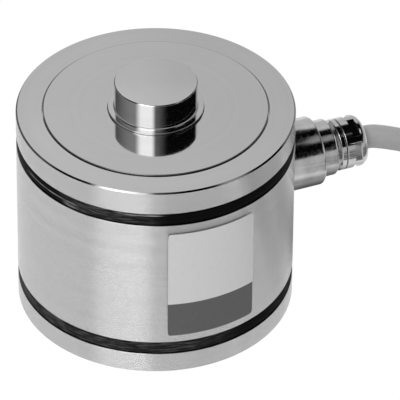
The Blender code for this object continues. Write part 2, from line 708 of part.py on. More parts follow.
def make_cable_end():
    """The last stretch lies in the coil's inner track and ends stripped."""
    track = COIL_INNER_TRACK - GAP
    gap_turn = GAP / track
    wire("cable_tail", coil_arc(track, TAIL_START, TAIL_TURN, tail_height, TAIL_STEP),
         CABLE_RADIUS, "cable sheath", resolution=4)
    sleeve_start = TAIL_START - TAIL_TURN - gap_turn
    wire("end_sleeve", coil_arc(track, sleeve_start, SLEEVE_TURN, tail_height, END_STEP),
         CABLE_RADIUS - END_SLEEVE_WALL, "tie black", resolution=4)
    lead_start = sleeve_start - SLEEVE_TURN - gap_turn
    finishes = (*CORE_FINISHES, "cable sheath")
    names = [f"lead_core_{n}" for n in range(1, CORE_COUNT + 1)] + ["screen_lead"]
    for number, (name, finish) in enumerate(zip(names, finishes)):
        across = (number - len(names) / 2 + 0.5) * LEAD_SPREAD
        low = tail_height - CABLE_RADIUS + CORE_RADIUS + GAP
        wire(name, coil_arc(track + across, lead_start, LEAD_TURN, low, END_STEP), CORE_RADIUS,
             finish)
        tip = lead_start - LEAD_TURN - gap_turn
        ferrule = name.replace("core", "ferrule").replace("screen_lead", "screen_ferrule")
        wire(ferrule, coil_arc(track + across, tip, FERRULE_TURN, low, END_STEP),
             CORE_RADIUS, "tinned copper")


def make_ties():
    """Nylon ties: a flat band round the coil's turns, with its head on the outside."""
    inner = coil_inner - GAP
    outer = coil_outer + GAP
    low = coil_low - GAP
    high = coil_high + GAP
    middle = (inner + outer) / 2
    span = outer - inner
    for number, degrees in enumerate(TIE_ANGLES, 1):
        angle = math.radians(degrees)
        bm = bmesh.new()
        bmesh.ops.create_cube(bm, size=1.0, matrix=Matrix.Diagonal(
            (span + 2 * TIE_THICKNESS, TIE_WIDTH, high - low + 2 * TIE_THICKNESS, 1.0)))
        tie = add_object(f"cable_tie_{number}", bm, "tie black")
        tie.location = COIL_CENTRE + on_circle(middle, degrees, (high + low) / 2)
        tie.rotation_euler.z = angle
        window = block(f"tie_window_{number}", (span, 2 * TIE_WIDTH, high - low), tie.location,
                       angle)
        boolean(tie, window)
        head = block(f"tie_head_{number}", TIE_HEAD, COIL_CENTRE + on_circle(
            outer + TIE_HEAD[0] / 2, degrees, tail_height), angle)
        boolean(tie, head, "UNION")


def main():
    clear_scene()
    entry = make_entry_axis()
    make_base_plate()
    make_seal("lower_seal", BASE_RIM_HEIGHT)
    make_sleeve(entry)
    make_seal("upper_seal", sleeve_high)
    make_head_ring()
    make_top_diaphragm()
    make_load_button()
    make_torsion_ring()
    make_gauge_leads(make_gauges())
    make_terminal_board()
    make_cable_boss(entry)
    make_gland_body(entry)
    make_gland_inside(entry)
    make_gland_nut(entry)
    make_signal_cores(entry)
    make_label()
    make_cable()
    make_cable_end()
    make_ties()


main()
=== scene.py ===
# %% [markdown]
# # Ring torsion load cell
# A compression load cell is a steel can with a stiff ring inside. The load presses on the button
# in the middle of the top, the ring twists a little, and foil gauges on it turn that into a signal.
# This script dresses the solid model: every piece that shows is turned, cut or bent again at a
# finer scale, and gets a material that is built from nodes.

# %% Load the frame
import math

import bmesh
import bpy
from mathutils import Matrix, Vector


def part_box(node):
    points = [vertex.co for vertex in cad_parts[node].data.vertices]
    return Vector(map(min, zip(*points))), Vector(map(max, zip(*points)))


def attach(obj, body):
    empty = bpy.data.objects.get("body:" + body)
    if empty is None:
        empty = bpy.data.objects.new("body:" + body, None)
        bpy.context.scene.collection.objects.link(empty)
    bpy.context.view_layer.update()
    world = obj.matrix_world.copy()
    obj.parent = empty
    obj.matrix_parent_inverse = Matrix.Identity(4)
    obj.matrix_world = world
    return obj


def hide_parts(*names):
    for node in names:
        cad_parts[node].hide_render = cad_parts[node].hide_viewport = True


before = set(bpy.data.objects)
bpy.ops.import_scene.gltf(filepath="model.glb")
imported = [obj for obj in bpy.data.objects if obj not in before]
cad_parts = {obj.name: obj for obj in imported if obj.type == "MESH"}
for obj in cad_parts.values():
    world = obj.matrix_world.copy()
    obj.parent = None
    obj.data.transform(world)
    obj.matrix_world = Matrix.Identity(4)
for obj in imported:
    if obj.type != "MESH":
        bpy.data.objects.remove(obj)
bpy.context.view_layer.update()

scene = bpy.context.scene
MM = 0.001
print("nodes in the frame:", len(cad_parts))

# %% [markdown]
# ## The camera
# The photograph was taken from far away with a long lens, so the can's edges hardly converge. The
# distance, the height and the small tilts were found by fitting the circles of the can to the ones
# in the photograph.

# %% The camera
camera_data = bpy.data.cameras.new("camera")
camera_data.sensor_width = 36.0
camera_data.lens = 473.44
camera_data.clip_end = 20.0
camera = bpy.data.objects.new("camera", camera_data)
camera.location = (0.0, -1.65909, 1.31563)
camera.rotation_euler = [math.radians(a) for a in (52.5151, -0.4330, -0.2787)]
scene.collection.objects.link(camera)
scene.camera = camera
scene.view_settings.view_transform = "Standard"
print("camera height (m):", camera.location.z)

# %% [markdown]
# ## Sizes that the pieces share
# The can's radius and heights are measured from the solid model, so the dressed pieces can't drift
# away from it. The cable entry stands at an angle to the axes, where a box tells little, so its
# sizes are given here once, as radii and as stations along its axis from the can's middle.

# %% Sizes of the can
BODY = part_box("base_plate")[1][0]
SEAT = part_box("base_plate")[1][2]
BASE_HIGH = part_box("lower_seal")[0][2] - 0.3 * MM
SLEEVE_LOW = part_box("sleeve")[0][2]
SLEEVE_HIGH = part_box("sleeve")[1][2]
HEAD_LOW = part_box("upper_seal")[1][2] + 0.3 * MM
HEAD_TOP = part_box("head_ring")[1][2]
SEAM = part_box("top_diaphragm")[1][0]
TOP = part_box("top_diaphragm")[1][2]
BUTTON_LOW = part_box("load_button")[0][2]
BUTTON_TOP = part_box("load_button")[1][2]
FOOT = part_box("load_button")[1][0] - 0.4 * MM
SLEEVE_INNER = BODY - 4.7 * MM
SPIGOT = SLEEVE_INNER - 0.3 * MM
print("can radius and top (mm):", round(BODY / MM, 2), round(TOP / MM, 2))

# %% Sizes of the cable entry
ENTRY_ANGLE = math.radians(22.1)
ENTRY_HEIGHT = 49.0 * MM
ENTRY_BORE = 5.05 * MM
BOSS = 14 * MM
BOSS_STEP = 11.5 * MM
GLAND = 10.5 * MM
NUT_BORE = 8.1 * MM
BOSS_END = BODY + 13.4 * MM
STEP_END = BOSS_END + 6.4 * MM
FLANGE_LOW = STEP_END + 1.2 * MM
FLANGE_HIGH = FLANGE_LOW + 2.7 * MM
NUT_LOW = FLANGE_HIGH + 0.3 * MM
NUT_COLLAR = NUT_LOW + 3.4 * MM
NUT_DOME = NUT_COLLAR + 3.0 * MM
NUT_HIGH = NUT_DOME + 3.4 * MM
ENTRY = (Matrix.Translation((0, 0, ENTRY_HEIGHT)) @ Matrix.Rotation(ENTRY_ANGLE, 4, "Z")
         @ Matrix.Rotation(math.pi / 2, 4, "Y"))
print("end of the gland from the can's middle (mm):", round(NUT_HIGH / MM, 2))


# %% [markdown]
# ## The cable
# The cable leaves the gland level, droops to the table and runs on to the right, out of the
# picture. The rest of it is wound up as it comes from the store: five layers of three turns, each
# turn beside the last one. A tube of mesh rings could follow this route too, but a Bezier curve
# with automatic handles passes through the points without kinks, and its bevel gives the round
# sheath.

# %% Where the cable lies
def around(radius, degrees, height):
    turn = math.radians(degrees)
    return Vector((radius * math.cos(turn), radius * math.sin(turn), height))


CABLE = 4.75 * MM
exit_point = ENTRY @ Vector((0, 0, NUT_HIGH))
free_route = [exit_point, ENTRY @ Vector((0, 0, NUT_HIGH + 4 * MM))]
free_route += [Vector(p) for p in (
    (0.0906, 0.0363, 0.0478), (0.0950, 0.0376, 0.0461), (0.0994, 0.0389, 0.0442),
    (0.1072, 0.0411, 0.0402), (0.1160, 0.0438, 0.0346), (0.1260, 0.0469, 0.0280),
    (0.1370, 0.0503, 0.0209), (0.1470, 0.0539, 0.0146), (0.1570, 0.0571, 0.0096),
    (0.1680, 0.0595, 0.0063), (0.1790, 0.0598, 0.0051), (0.1900, 0.0568, 0.0050),
    (0.2020, 0.0489, 0.0051), (0.2095, 0.0405, 0.0055), (0.2175, 0.0310, 0.0059))]
print("cable leaves the gland at (mm):", [round(c / MM, 1) for c in exit_point])

# %% Wound cable
COIL_CENTRE = Vector((178 * MM, -25 * MM, 0))
COIL_START = 45
FULL_TURNS = 14
TURNS_PER_LAYER = 3
POINTS_PER_TURN = 20
CLIMB_TURN = 0.25
PITCH = 9.7 * MM
OUTER_TRACK = 67.1 * MM
INNER_TRACK = 38.0 * MM
LAYER_LOW = 5.95 * MM

coil_route = []
for step in range(FULL_TURNS * POINTS_PER_TURN):
    turns = step / POINTS_PER_TURN
    layer, along = divmod(turns, TURNS_PER_LAYER)
    inward = layer % 2 == 0
    radius = OUTER_TRACK - along * PITCH if inward else INNER_TRACK + along * PITCH
    climb = max(0.0, (along - (TURNS_PER_LAYER - CLIMB_TURN)) / CLIMB_TURN)
    height = LAYER_LOW + (layer + climb) * PITCH
    coil_route.append(COIL_CENTRE + around(radius, COIL_START - 360 * turns, height))
print("points of the full turns:", len(coil_route))


# %% End of the winding
def coil_arc(radius, start, turn, height, count):
    """Points along a coil track, clockwise seen from above, angles in degrees."""
    return [COIL_CENTRE + around(radius, start - turn * k / count, height)
            for k in range(count + 1)]


SETTLE_TURN = 216
SETTLE_STEPS = 12
SETTLE_FROM = OUTER_TRACK - 2 * PITCH
TAIL_TRACK = 37.7 * MM
TAIL_HEIGHT = LAYER_LOW + 4 * PITCH
TAIL_START = COIL_START - SETTLE_TURN
TAIL_TURN = 62
for step in range(SETTLE_STEPS + 1):
    part = step / SETTLE_STEPS
    radius = SETTLE_FROM + (TAIL_TRACK - SETTLE_FROM) * part
    coil_route.append(COIL_CENTRE + around(radius, COIL_START - SETTLE_TURN * part, TAIL_HEIGHT))
coil_route += coil_arc(TAIL_TRACK, TAIL_START, TAIL_TURN, TAIL_HEIGHT, 4)[1:]
print("points of the cable:", len(free_route), "free and", len(coil_route), "wound")


# %% The cable as a curve
def tube(name, points, radius, sides=3):
    """A round cord through the points; sides is the curve's bevel resolution.

    The bevel is 1 m and every point scales it down, because Blender adds a point's own radius to
    the curve's bounds.
    """
    data = bpy.data.curves.new(name, "CURVE")
    data.dimensions = "3D"
    data.bevel_depth = 1.0
    data.bevel_resolution = sides
    data.resolution_u = 4
    data.use_fill_caps = True
    spline = data.splines.new("BEZIER")
    spline.bezier_points.add(len(points) - 1)
    for knot, point in zip(spline.bezier_points, points):
        knot.co = point
        knot.radius = radius
        knot.handle_left_type = "AUTO"
        knot.handle_right_type = "AUTO"
    obj = bpy.data.objects.new(name, data)
    scene.collection.objects.link(obj)
    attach(obj, "root")
    return obj


cable = tube("cable", free_route + coil_route, CABLE, sides=8)
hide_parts("cable_run", "cable_coil", "cable_tail")
print("cable thickness (mm):", round(2 * CABLE / MM, 2))

# %% [markdown]
# ## The stripped end
# The far end is bare for wiring: a shrink sleeve closes the sheath, four cores and the screen's
# lead come out of it, and each ends in a crimped ferrule. They lie on the winding and follow its
# inner track, so they are curves like the cable. The leads sink from the middle of the cable to
# what they lie on within a few millimetres. Two pinched points make a ferrule's crimp.

# %% Where the end's pieces start
END_GAP = 0.45
SLEEVE_TURN = 32
LEAD_TURN = 58
FERRULE_TURN = 13
SLEEVE_START = TAIL_START - TAIL_TURN - END_GAP
LEAD_START = SLEEVE_START - SLEEVE_TURN - END_GAP
FERRULE_START = LEAD_START - LEAD_TURN - END_GAP
LEAD = 0.8 * MM
LEAD_PITCH = 2.1 * MM
LEAD_HEIGHT = TAIL_HEIGHT - CABLE + LEAD + 0.3 * MM
CRIMP = 0.82
print("length of a lead (mm):", round(math.radians(LEAD_TURN) * TAIL_TRACK / MM, 1))

# %% Shrink sleeve
end_sleeve = tube("shrink_sleeve", coil_arc(TAIL_TRACK, SLEEVE_START, SLEEVE_TURN, TAIL_HEIGHT, 4),
                  CABLE - 0.6 * MM, sides=6)
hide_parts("end_sleeve")
print("length of the sleeve (mm):", round(math.radians(SLEEVE_TURN) * TAIL_TRACK / MM, 1))

# %% Leads and ferrules
on_cable = [end_sleeve]
leads = {}
ferrules = []
for number in range(5):
    from_middle = number - 2
    track = TAIL_TRACK + from_middle * LEAD_PITCH
    name = "shield" if number == 4 else f"core_{number + 1}"
    points = coil_arc(track, LEAD_START, LEAD_TURN, LEAD_HEIGHT, 12)
    points[0] = COIL_CENTRE + around(TAIL_TRACK + 0.75 * from_middle * LEAD_PITCH, LEAD_START,
                                     LEAD_HEIGHT + (1.6 - 0.3 * abs(from_middle)) * MM)
    lead = tube(f"{name}_wire", points, LEAD, sides=2)
    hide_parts("screen_lead" if number == 4 else f"lead_core_{number + 1}")
    leads[name] = lead
    ferrule = tube(f"{name}_ferrule", coil_arc(track, FERRULE_START, FERRULE_TURN, LEAD_HEIGHT, 8),
                   LEAD, sides=2)
    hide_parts("screen_ferrule" if number == 4 else f"lead_ferrule_{number + 1}")
    for place in (3, 5):
        ferrule.data.splines[0].bezier_points[place].radius = LEAD * CRIMP
    ferrules.append(ferrule)
    on_cable += [lead, ferrule]
print("pieces on the cable's end:", len(on_cable))

# %% [markdown]
# ## Shader tools
# Every shader here is a chain of small sums on places, directions and noises. Nodes can be placed
# one by one, but helpers that make a node and return its output let a chain read like a formula.


# %% Making and joining nodes
def add(tree, kind, **settings):
    node = tree.nodes.new(kind)
    for key, value in settings.items():
        setattr(node, key, value)
    return node


def plug(tree, value, socket):
    """Join an output to a socket, or write a plain value on it."""
    if isinstance(value, bpy.types.NodeSocket):
        tree.links.new(value, socket)
    else:
        socket.default_value = value


def calc(tree, operation, a, b=None, c=None):
    node = add(tree, "ShaderNodeMath", operation=operation)
    for value, socket in zip((a, b, c), node.inputs):
        if value is not None:
            plug(tree, value, socket)
    return node.outputs[0]


def times(tree, first, *others):
    for other in others:
        first = calc(tree, "MULTIPLY", first, other)
    return first


def split(tree, vector):
    """The x, y and z of a vector."""
    node = add(tree, "ShaderNodeSeparateXYZ")
    plug(tree, vector, node.inputs[0])
    return node.outputs


# %% Ramps and blends
def ramp(tree, value, low, high, to_low=0.0, to_high=1.0):
    """A smooth step from to_low to to_high while value goes from low to high."""
    node = add(tree, "ShaderNodeMapRange", interpolation_type="SMOOTHSTEP")
    for item, socket in zip((value, low, high, to_low, to_high), node.inputs):
        plug(tree, item, socket)
    return node.outputs[0]


def band(tree, value, low, high, soft):
    """1 between low and high, with soft edges."""
    rise = ramp(tree, value, low - soft, low + soft)
    fall = ramp(tree, value, high - soft, high + soft, 1.0, 0.0)
    return times(tree, rise, fall)


def blend_values(tree, mask, first, second):
    node = add(tree, "ShaderNodeMix", data_type="FLOAT")
    plug(tree, mask, node.inputs[0])
    plug(tree, first, node.inputs[2])
    plug(tree, second, node.inputs[3])
    return node.outputs[0]


def blend_colours(tree, mask, first, second):
    node = add(tree, "ShaderNodeMix", data_type="RGBA")
    plug(tree, mask, node.inputs[0])
    plug(tree, first, node.inputs[6])
    plug(tree, second, node.inputs[7])
    return node.outputs[2]


def grey(level):
    return (level, level, level, 1.0)


print("white as a colour:", grey(1.0))


# %% [markdown]
# ## Light
# The steel is a mirror with a soft focus, so it shows the room more than itself. The room is read
# from its reflections. A bright softbox stands left of the camera and grows brighter upwards. A
# grey wall behind the can gives the polished top its tone. Darker walls stand beside the softbox
# and low in front, a ceiling closes the room, and one small patch of light on the right shows on
# the cable entry. Between them the room is almost black, which gives polished steel its dark
# stripes. Lamps could light it too, but the world's shader draws each field with its own soft
# edges, from the direction that a ray flies in.

# %% Directions in the room
def heading(tree, x, y):
    """Degrees round the can: 0 towards the camera, positive to the right."""
    return times(tree, calc(tree, "ARCTAN2", x, times(tree, y, -1.0)), 180 / math.pi)


world = bpy.data.worlds.new("studio")
scene.world = world
world.use_nodes = True
tree = world.node_tree
tree.nodes.clear()
x, y, z = split(tree, add(tree, "ShaderNodeTexCoord").outputs["Generated"])
azimuth = heading(tree, x, y)
aside = calc(tree, "ABSOLUTE", azimuth)
elevation = times(tree, calc(tree, "ARCSINE", z), 180 / math.pi)
# The softbox is wider at the top, so its left edge slants.
from_left = calc(tree, "ADD", azimuth, ramp(tree, elevation, 35, 65, 0, 14))
print("nodes for the direction:", len(tree.nodes))

# %% Softbox and patch
PATCH_LIGHT = 0.75
# The softbox's right edge has a bright part and a faint wide one.
right_edge = calc(tree, "MAXIMUM", ramp(tree, azimuth, -13, 3, 1, 0),
                  ramp(tree, azimuth, -10, 35, 0.13, 0))
softbox = times(tree, ramp(tree, from_left, -61, -39), right_edge,
                band(tree, elevation, 27, 67, 3), ramp(tree, elevation, 38, 54, 1.9, 5.0))
patch = times(tree, band(tree, azimuth, 70, 106, 6), band(tree, elevation, 48, 62, 4))
print("nodes with the softbox:", len(tree.nodes))

# %% Walls and ceiling
high_left = times(tree, ramp(tree, azimuth, -150, -60, 0.12, 0.42),
                  ramp(tree, elevation, 36, 46, 1, 0.03))
left_wall = times(tree, calc(tree, "ADD", high_left, ramp(tree, elevation, 12, 28, 0.2, 0)),
                  ramp(tree, from_left, -61, -39, 1, 0))
low_wall = times(tree, ramp(tree, elevation, 16, 19, 0.55, 0), ramp(tree, from_left, -54, -47))
# The front wall has a gap on the right, which the steel shows as a dark stripe.
front_wall = times(tree, ramp(tree, elevation, 26, 29, 0.42, 0),
                   calc(tree, "SUBTRACT", ramp(tree, azimuth, -22, -12),
                        band(tree, azimuth, 32, 62, 4)))
back_wall = times(tree, ramp(tree, aside, 140, 156), ramp(tree, elevation, 50, 56, 0.67, 0),
                  ramp(tree, x, -0.03, 0.03, 1.05, 0.95),
                  ramp(tree, elevation, 35.5, 39.5, 0.95, 1.05))
walls = ramp(tree, elevation, 77, 81, 0, 0.5)
for wall in (left_wall, back_wall, low_wall, front_wall):
    walls = calc(tree, "MAXIMUM", walls, wall)
print("nodes with the walls:", len(tree.nodes))

# %% The room put together
# Dull surfaces get an even extra light, more of it from the left, and the camera sees white paper.
DARK_ROOM = 0.002
room = calc(tree, "ADD", softbox, calc(tree, "MULTIPLY_ADD", patch, PATCH_LIGHT, DARK_ROOM))
room = calc(tree, "ADD", room, walls)
paths = add(tree, "ShaderNodeLightPath")
fill = times(tree, paths.outputs["Is Diffuse Ray"], ramp(tree, azimuth, -80, 80, 0.7, 0.3))
room = calc(tree, "ADD", room, fill)
background = add(tree, "ShaderNodeBackground")
background.inputs["Color"].default_value = grey(1.0)
plug(tree, blend_values(tree, paths.outputs["Is Camera Ray"], room, 1.0),
     background.inputs["Strength"])
tree.links.new(background.outputs[0], add(tree, "ShaderNodeOutputWorld").inputs["Surface"])
print("nodes of the world:", len(tree.nodes))

# %% [markdown]
# ## Floor
# The can stands on white paper that is lit evenly, so most of the paper's light is a plain glow.
# The steel mirrors it a little darker. Two soft dark spots, one under the cable entry and one in
# front of it, show in reflections only and stand in for the shade that the entry gives.

# %% The floor
FLOOR_SEEN = 1.03
FLOOR_MIRRORED = 0.94
SPOT_INNER = 4 * MM
SPOTS = (((68 * MM, 38 * MM, 0), 42 * MM, 0.1), ((85 * MM, -6 * MM, 0), 20 * MM, 0.5))

floor_material = bpy.data.materials.new("pale_floor")
floor_material.use_nodes = True
tree = floor_material.node_tree
tree.nodes.clear()
mirrored = FLOOR_MIRRORED
for centre, outer, darkest in SPOTS:
    distance = add(tree, "ShaderNodeVectorMath", operation="DISTANCE")
    plug(tree, add(tree, "ShaderNodeTexCoord").outputs["Object"], distance.inputs[0])
    distance.inputs[1].default_value = centre
    spot = ramp(tree, distance.outputs["Value"], SPOT_INNER, outer, darkest, 1)
    mirrored = times(tree, spot, mirrored)
seen = add(tree, "ShaderNodeLightPath").outputs["Is Camera Ray"]
paint = add(tree, "ShaderNodeBsdfDiffuse")
paint.inputs["Color"].default_value = grey(0.8)
glow = add(tree, "ShaderNodeEmission")
plug(tree, blend_values(tree, seen, mirrored, FLOOR_SEEN), glow.inputs["Strength"])
paper = add(tree, "ShaderNodeMixShader")
plug(tree, ramp(tree, seen, 0, 1, 0.8, 0.96), paper.inputs[0])
plug(tree, paint.outputs[0], paper.inputs[1])
plug(tree, glow.outputs[0], paper.inputs[2])
tree.links.new(paper.outputs[0], add(tree, "ShaderNodeOutputMaterial").inputs["Surface"])

floor_mesh = bpy.data.meshes.new("floor")
floor_bm = bmesh.new()
bmesh.ops.create_grid(floor_bm, x_segments=1, y_segments=1, size=2.0)
floor_bm.to_mesh(floor_mesh)
floor_bm.free()
floor_mesh.materials.append(floor_material)
floor = bpy.data.objects.new("floor", floor_mesh)
scene.collection.objects.link(floor)
print("floor across (m):", floor.dimensions.x)


# %% [markdown]
# ## Shared surface effects
# A node group is made once and used in several materials. Turning leaves rings that run round the
# piece: on the wall they change with height, on a flat face with the distance from the middle. The
# first group gives this pattern. The second one tips the normal to and fro across grooves that are
# finer than a pixel, by the sum of two random numbers, so small tips are the most common.

# %% Group for turned rings
FLOAT = "NodeSocketFloat"
VECTOR = "NodeSocketVector"


def group(name, inputs, outputs):
    made = bpy.data.node_groups.new(name, "ShaderNodeTree")
    for label, kind, value in inputs:
        socket = made.interface.new_socket(label, in_out="INPUT", socket_type=kind)
        socket.default_value = value
    for label, kind in outputs:
        made.interface.new_socket(label, in_out="OUTPUT", socket_type=kind)
    return made, add(made, "NodeGroupInput"), add(made, "NodeGroupOutput")


def line_noise(tree, position, scale, detail):
    """Noise along one line."""
    node = add(tree, "ShaderNodeTexNoise", noise_dimensions="1D")
    plug(tree, position, node.inputs["W"])
    node.inputs["Scale"].default_value = scale
    node.inputs["Detail"].default_value = detail
    return node.outputs[0]


def turned_group():
    made, get, give = group("turned_rings", [("Place", VECTOR, (0, 0, 0)),
                                             ("Facing", VECTOR, (0, 0, 1)),
                                             ("Spacing mm", FLOAT, 0.3)],
                            [("Rings", FLOAT), ("Broad", FLOAT), ("Radius", FLOAT)])
    x, y, z = split(made, get.outputs["Place"])
    radius = calc(made, "SQRT", calc(made, "ADD", times(made, x, x), times(made, y, y)))
    upward = calc(made, "ABSOLUTE", split(made, get.outputs["Facing"])[2])
    travel = blend_values(made, calc(made, "GREATER_THAN", upward, 0.6), z, radius)
    position = calc(made, "DIVIDE", travel, times(made, get.outputs["Spacing mm"], MM))
    plug(made, line_noise(made, position, 1.0, 3.0), give.inputs["Rings"])
    plug(made, line_noise(made, position, 0.06, 1.0), give.inputs["Broad"])
    plug(made, radius, give.inputs["Radius"])
    return made


TURNED = turned_group()
print("nodes for turned rings:", len(TURNED.nodes))


# %% Group for fine grooves
def groove_group():
    made, get, give = group("fine_grooves", [("Place", VECTOR, (0, 0, 0)),
                                             ("Across", VECTOR, (0, 0, 1)),
                                             ("Spread", FLOAT, 0.3), ("Lean", FLOAT, 0.0)],
                            [("Normal", VECTOR)])
    chances = []
    for shifted in (0.0, 7.3):
        moved = add(made, "ShaderNodeVectorMath", operation="ADD")
        plug(made, get.outputs["Place"], moved.inputs[0])
        moved.inputs[1].default_value = (shifted, shifted, shifted)
        chance = add(made, "ShaderNodeTexWhiteNoise", noise_dimensions="3D")
        plug(made, moved.outputs[0], chance.inputs["Vector"])
        chances.append(chance.outputs["Value"])
    tilt = calc(made, "SUBTRACT", calc(made, "ADD", *chances), 1.0)
    tilt = calc(made, "MULTIPLY_ADD", tilt, get.outputs["Spread"], get.outputs["Lean"])
    tipped = add(made, "ShaderNodeVectorMath", operation="SCALE")
    plug(made, get.outputs["Across"], tipped.inputs[0])
    plug(made, tilt, tipped.inputs["Scale"])
    total = add(made, "ShaderNodeVectorMath", operation="ADD")
    plug(made, add(made, "ShaderNodeNewGeometry").outputs["Normal"], total.inputs[0])
    plug(made, tipped.outputs[0], total.inputs[1])
    even = add(made, "ShaderNodeVectorMath", operation="NORMALIZE")
    plug(made, total.outputs[0], even.inputs[0])
    plug(made, even.outputs[0], give.inputs["Normal"])
    return made


GROOVES = groove_group()
print("nodes for fine grooves:", len(GROOVES.nodes))


# %% [markdown]
# ## Starting a material
# Every finish here is one Principled shader with nodes on its inputs. The patterns read Object
# coordinates, so they keep their size and their place on the piece. Those of the cable entry are
# turned by a Mapping node, because its rings run round an axis of its own.

# %% Starting a material
def new_material(name, colour, metallic, roughness):
    made = bpy.data.materials.new(name)
    made.use_nodes = True
    made.diffuse_color = colour
    shader = made.node_tree.nodes["Principled BSDF"]
    shader.inputs["Base Color"].default_value = colour
    shader.inputs["Metallic"].default_value = metallic
    shader.inputs["Roughness"].default_value = roughness
    return made, made.node_tree, shader


def use_group(tree, made, place, **values):
    node = add(tree, "ShaderNodeGroup", node_tree=made)
    plug(tree, place, node.inputs["Place"])
    for key, value in values.items():
        plug(tree, value, node.inputs[key.replace("_", " ")])
    return node


# %% Where a pattern sits
def object_place(tree):
    return add(tree, "ShaderNodeTexCoord").outputs["Object"]


def entry_place(tree):
    """Object coordinates turned so that Z runs along the cable entry's axis."""
    mapping = add(tree, "ShaderNodeMapping", vector_type="TEXTURE")
    plug(tree, object_place(tree), mapping.inputs["Vector"])
    mapping.inputs["Location"].default_value = (0, 0, ENTRY_HEIGHT)
    mapping.inputs["Rotation"].default_value = (0, math.pi / 2, ENTRY_ANGLE)
    return mapping.outputs[0]


def stretched_place(tree, scale):
    """Object coordinates times a scale; a small number draws a pattern out along that axis."""
    node = add(tree, "ShaderNodeVectorMath", operation="MULTIPLY")
    plug(tree, object_place(tree), node.inputs[0])
    node.inputs[1].default_value = scale
    return node.outputs[0]


def face_normal(tree):
    return add(tree, "ShaderNodeNewGeometry").outputs["True Normal"]


# %% Noise, bump and small changes of a value
def noise(tree, place, scale, detail=2.0):
    node = add(tree, "ShaderNodeTexNoise")
    plug(tree, place, node.inputs["Vector"])
    node.inputs["Scale"].default_value = scale
    node.inputs["Detail"].default_value = detail
    return node.outputs[0]


def bump(tree, shader, height, depth):
    node = add(tree, "ShaderNodeBump")
    plug(tree, height, node.inputs["Height"])
    node.inputs["Distance"].default_value = depth
    tree.links.new(node.outputs[0], shader.inputs["Normal"])


def shift(tree, value, base, swing):
    """base plus swing times how far value is above its middle."""
    return calc(tree, "MULTIPLY_ADD", value, 2 * swing, base - swing)


def input_of(shader, name):
    """The output that feeds one of the shader's inputs."""
    return shader.inputs[name].links[0].from_socket


# %% [markdown]
# ## Turned stainless steel
# The can is turned on a lathe, and the tool leaves grooves much finer than a pixel. They spread a
# reflection across themselves and keep it sharp along themselves, which is why the softbox shows
# on the wall as a tall band with crisp sides. The shader's own anisotropy doesn't spread this far,
# so each ray meets a normal that is tipped a random amount across the grooves. Flat faces are
# ground finer and spread far less. Faces that slant, such as chamfers and fillets, get painted
# shade, a darker colour, as they are in the photograph, and the tone wanders in streaks that run
# round the can.

# %% Turned steel
UPRIGHT = (0, 0, 1)
RING_SPACING = 0.25
STREAKS = (0.025, 0.025, 1)


def steel_tone(tree, rings, cloud_place, level, swing):
    """A grey that wanders with the broad rings and with clouds."""
    tone = calc(tree, "ADD", times(tree, rings.outputs["Broad"], 0.4),
                times(tree, noise(tree, cloud_place, 900.0, 5.0), 0.6))
    return blend_colours(tree, ramp(tree, tone, 0.35, 0.65), grey(level * (1 - swing)),
                         grey(level * (1 + swing)))


def turned_steel(name, level, wall, flat, across=UPRIGHT, dim=0.0, swing=0.022):
    """wall and flat are (roughness, spread) of upright and of level faces.

    across is the direction across the grooves, dim darkens upright faces, and swing is how far
    the tone wanders.
    """
    made, tree, shader = new_material(name, grey(level), 1.0, wall[0])
    upright = across == UPRIGHT
    place = object_place(tree)
    upward = calc(tree, "ABSOLUTE", split(tree, face_normal(tree))[2])
    is_flat = ramp(tree, upward, 0.25, 0.6) if upright else 0.0
    rings = use_group(tree, TURNED, place if upright else entry_place(tree),
                      Facing=face_normal(tree) if upright else (0, 0, 0),
                      Spacing_mm=RING_SPACING)
    colour = steel_tone(tree, rings, stretched_place(tree, STREAKS if upright else (1, 1, 1)),
                        level, swing)
    if dim:
        colour = blend_colours(tree, calc(tree, "MULTIPLY_ADD", is_flat, -dim, dim), colour,
                               grey(0))
    # Painted shade: faces that slant get a darker colour, which stands in for the dark that
    # chamfers and fillets reflect.
    painted_slant_shade = times(tree, band(tree, upward, 0.65, 0.9, 0.03), 0.55)
    plug(tree, blend_colours(tree, painted_slant_shade, colour, grey(0.02)), shader.inputs["Base Color"])
    if wall == flat:
        spread = wall[1]
        roughness = shift(tree, rings.outputs["Rings"], wall[0], wall[0] * 0.1)
    else:
        spread = calc(tree, "MULTIPLY_ADD", is_flat, flat[1] - wall[1], wall[1])
        roughness = calc(tree, "MULTIPLY_ADD", is_flat, flat[0] - wall[0], wall[0])
        roughness = calc(tree, "MULTIPLY_ADD", rings.outputs["Rings"], 0.04, roughness)
    plug(tree, roughness, shader.inputs["Roughness"])
    lean = times(tree, shift(tree, rings.outputs["Rings"], 0.0, 0.08), spread)
    grooves = use_group(tree, GROOVES, place, Across=across, Spread=spread, Lean=lean)
    tree.links.new(grooves.outputs["Normal"], shader.inputs["Normal"])
    return made, tree, shader


wall_steel = turned_steel("turned_steel", 0.65, (0.14, 1.3), (0.08, 0.02))[0]
head_steel = turned_steel("head_steel", 0.65, (0.14, 1.3), (0.08, 0.02), dim=0.04)[0]
spring = turned_steel("ring_steel", 0.46, (0.25, 0.5), (0.25, 0.05))[0]
print("nodes of the wall's steel:", len(wall_steel.node_tree.nodes))
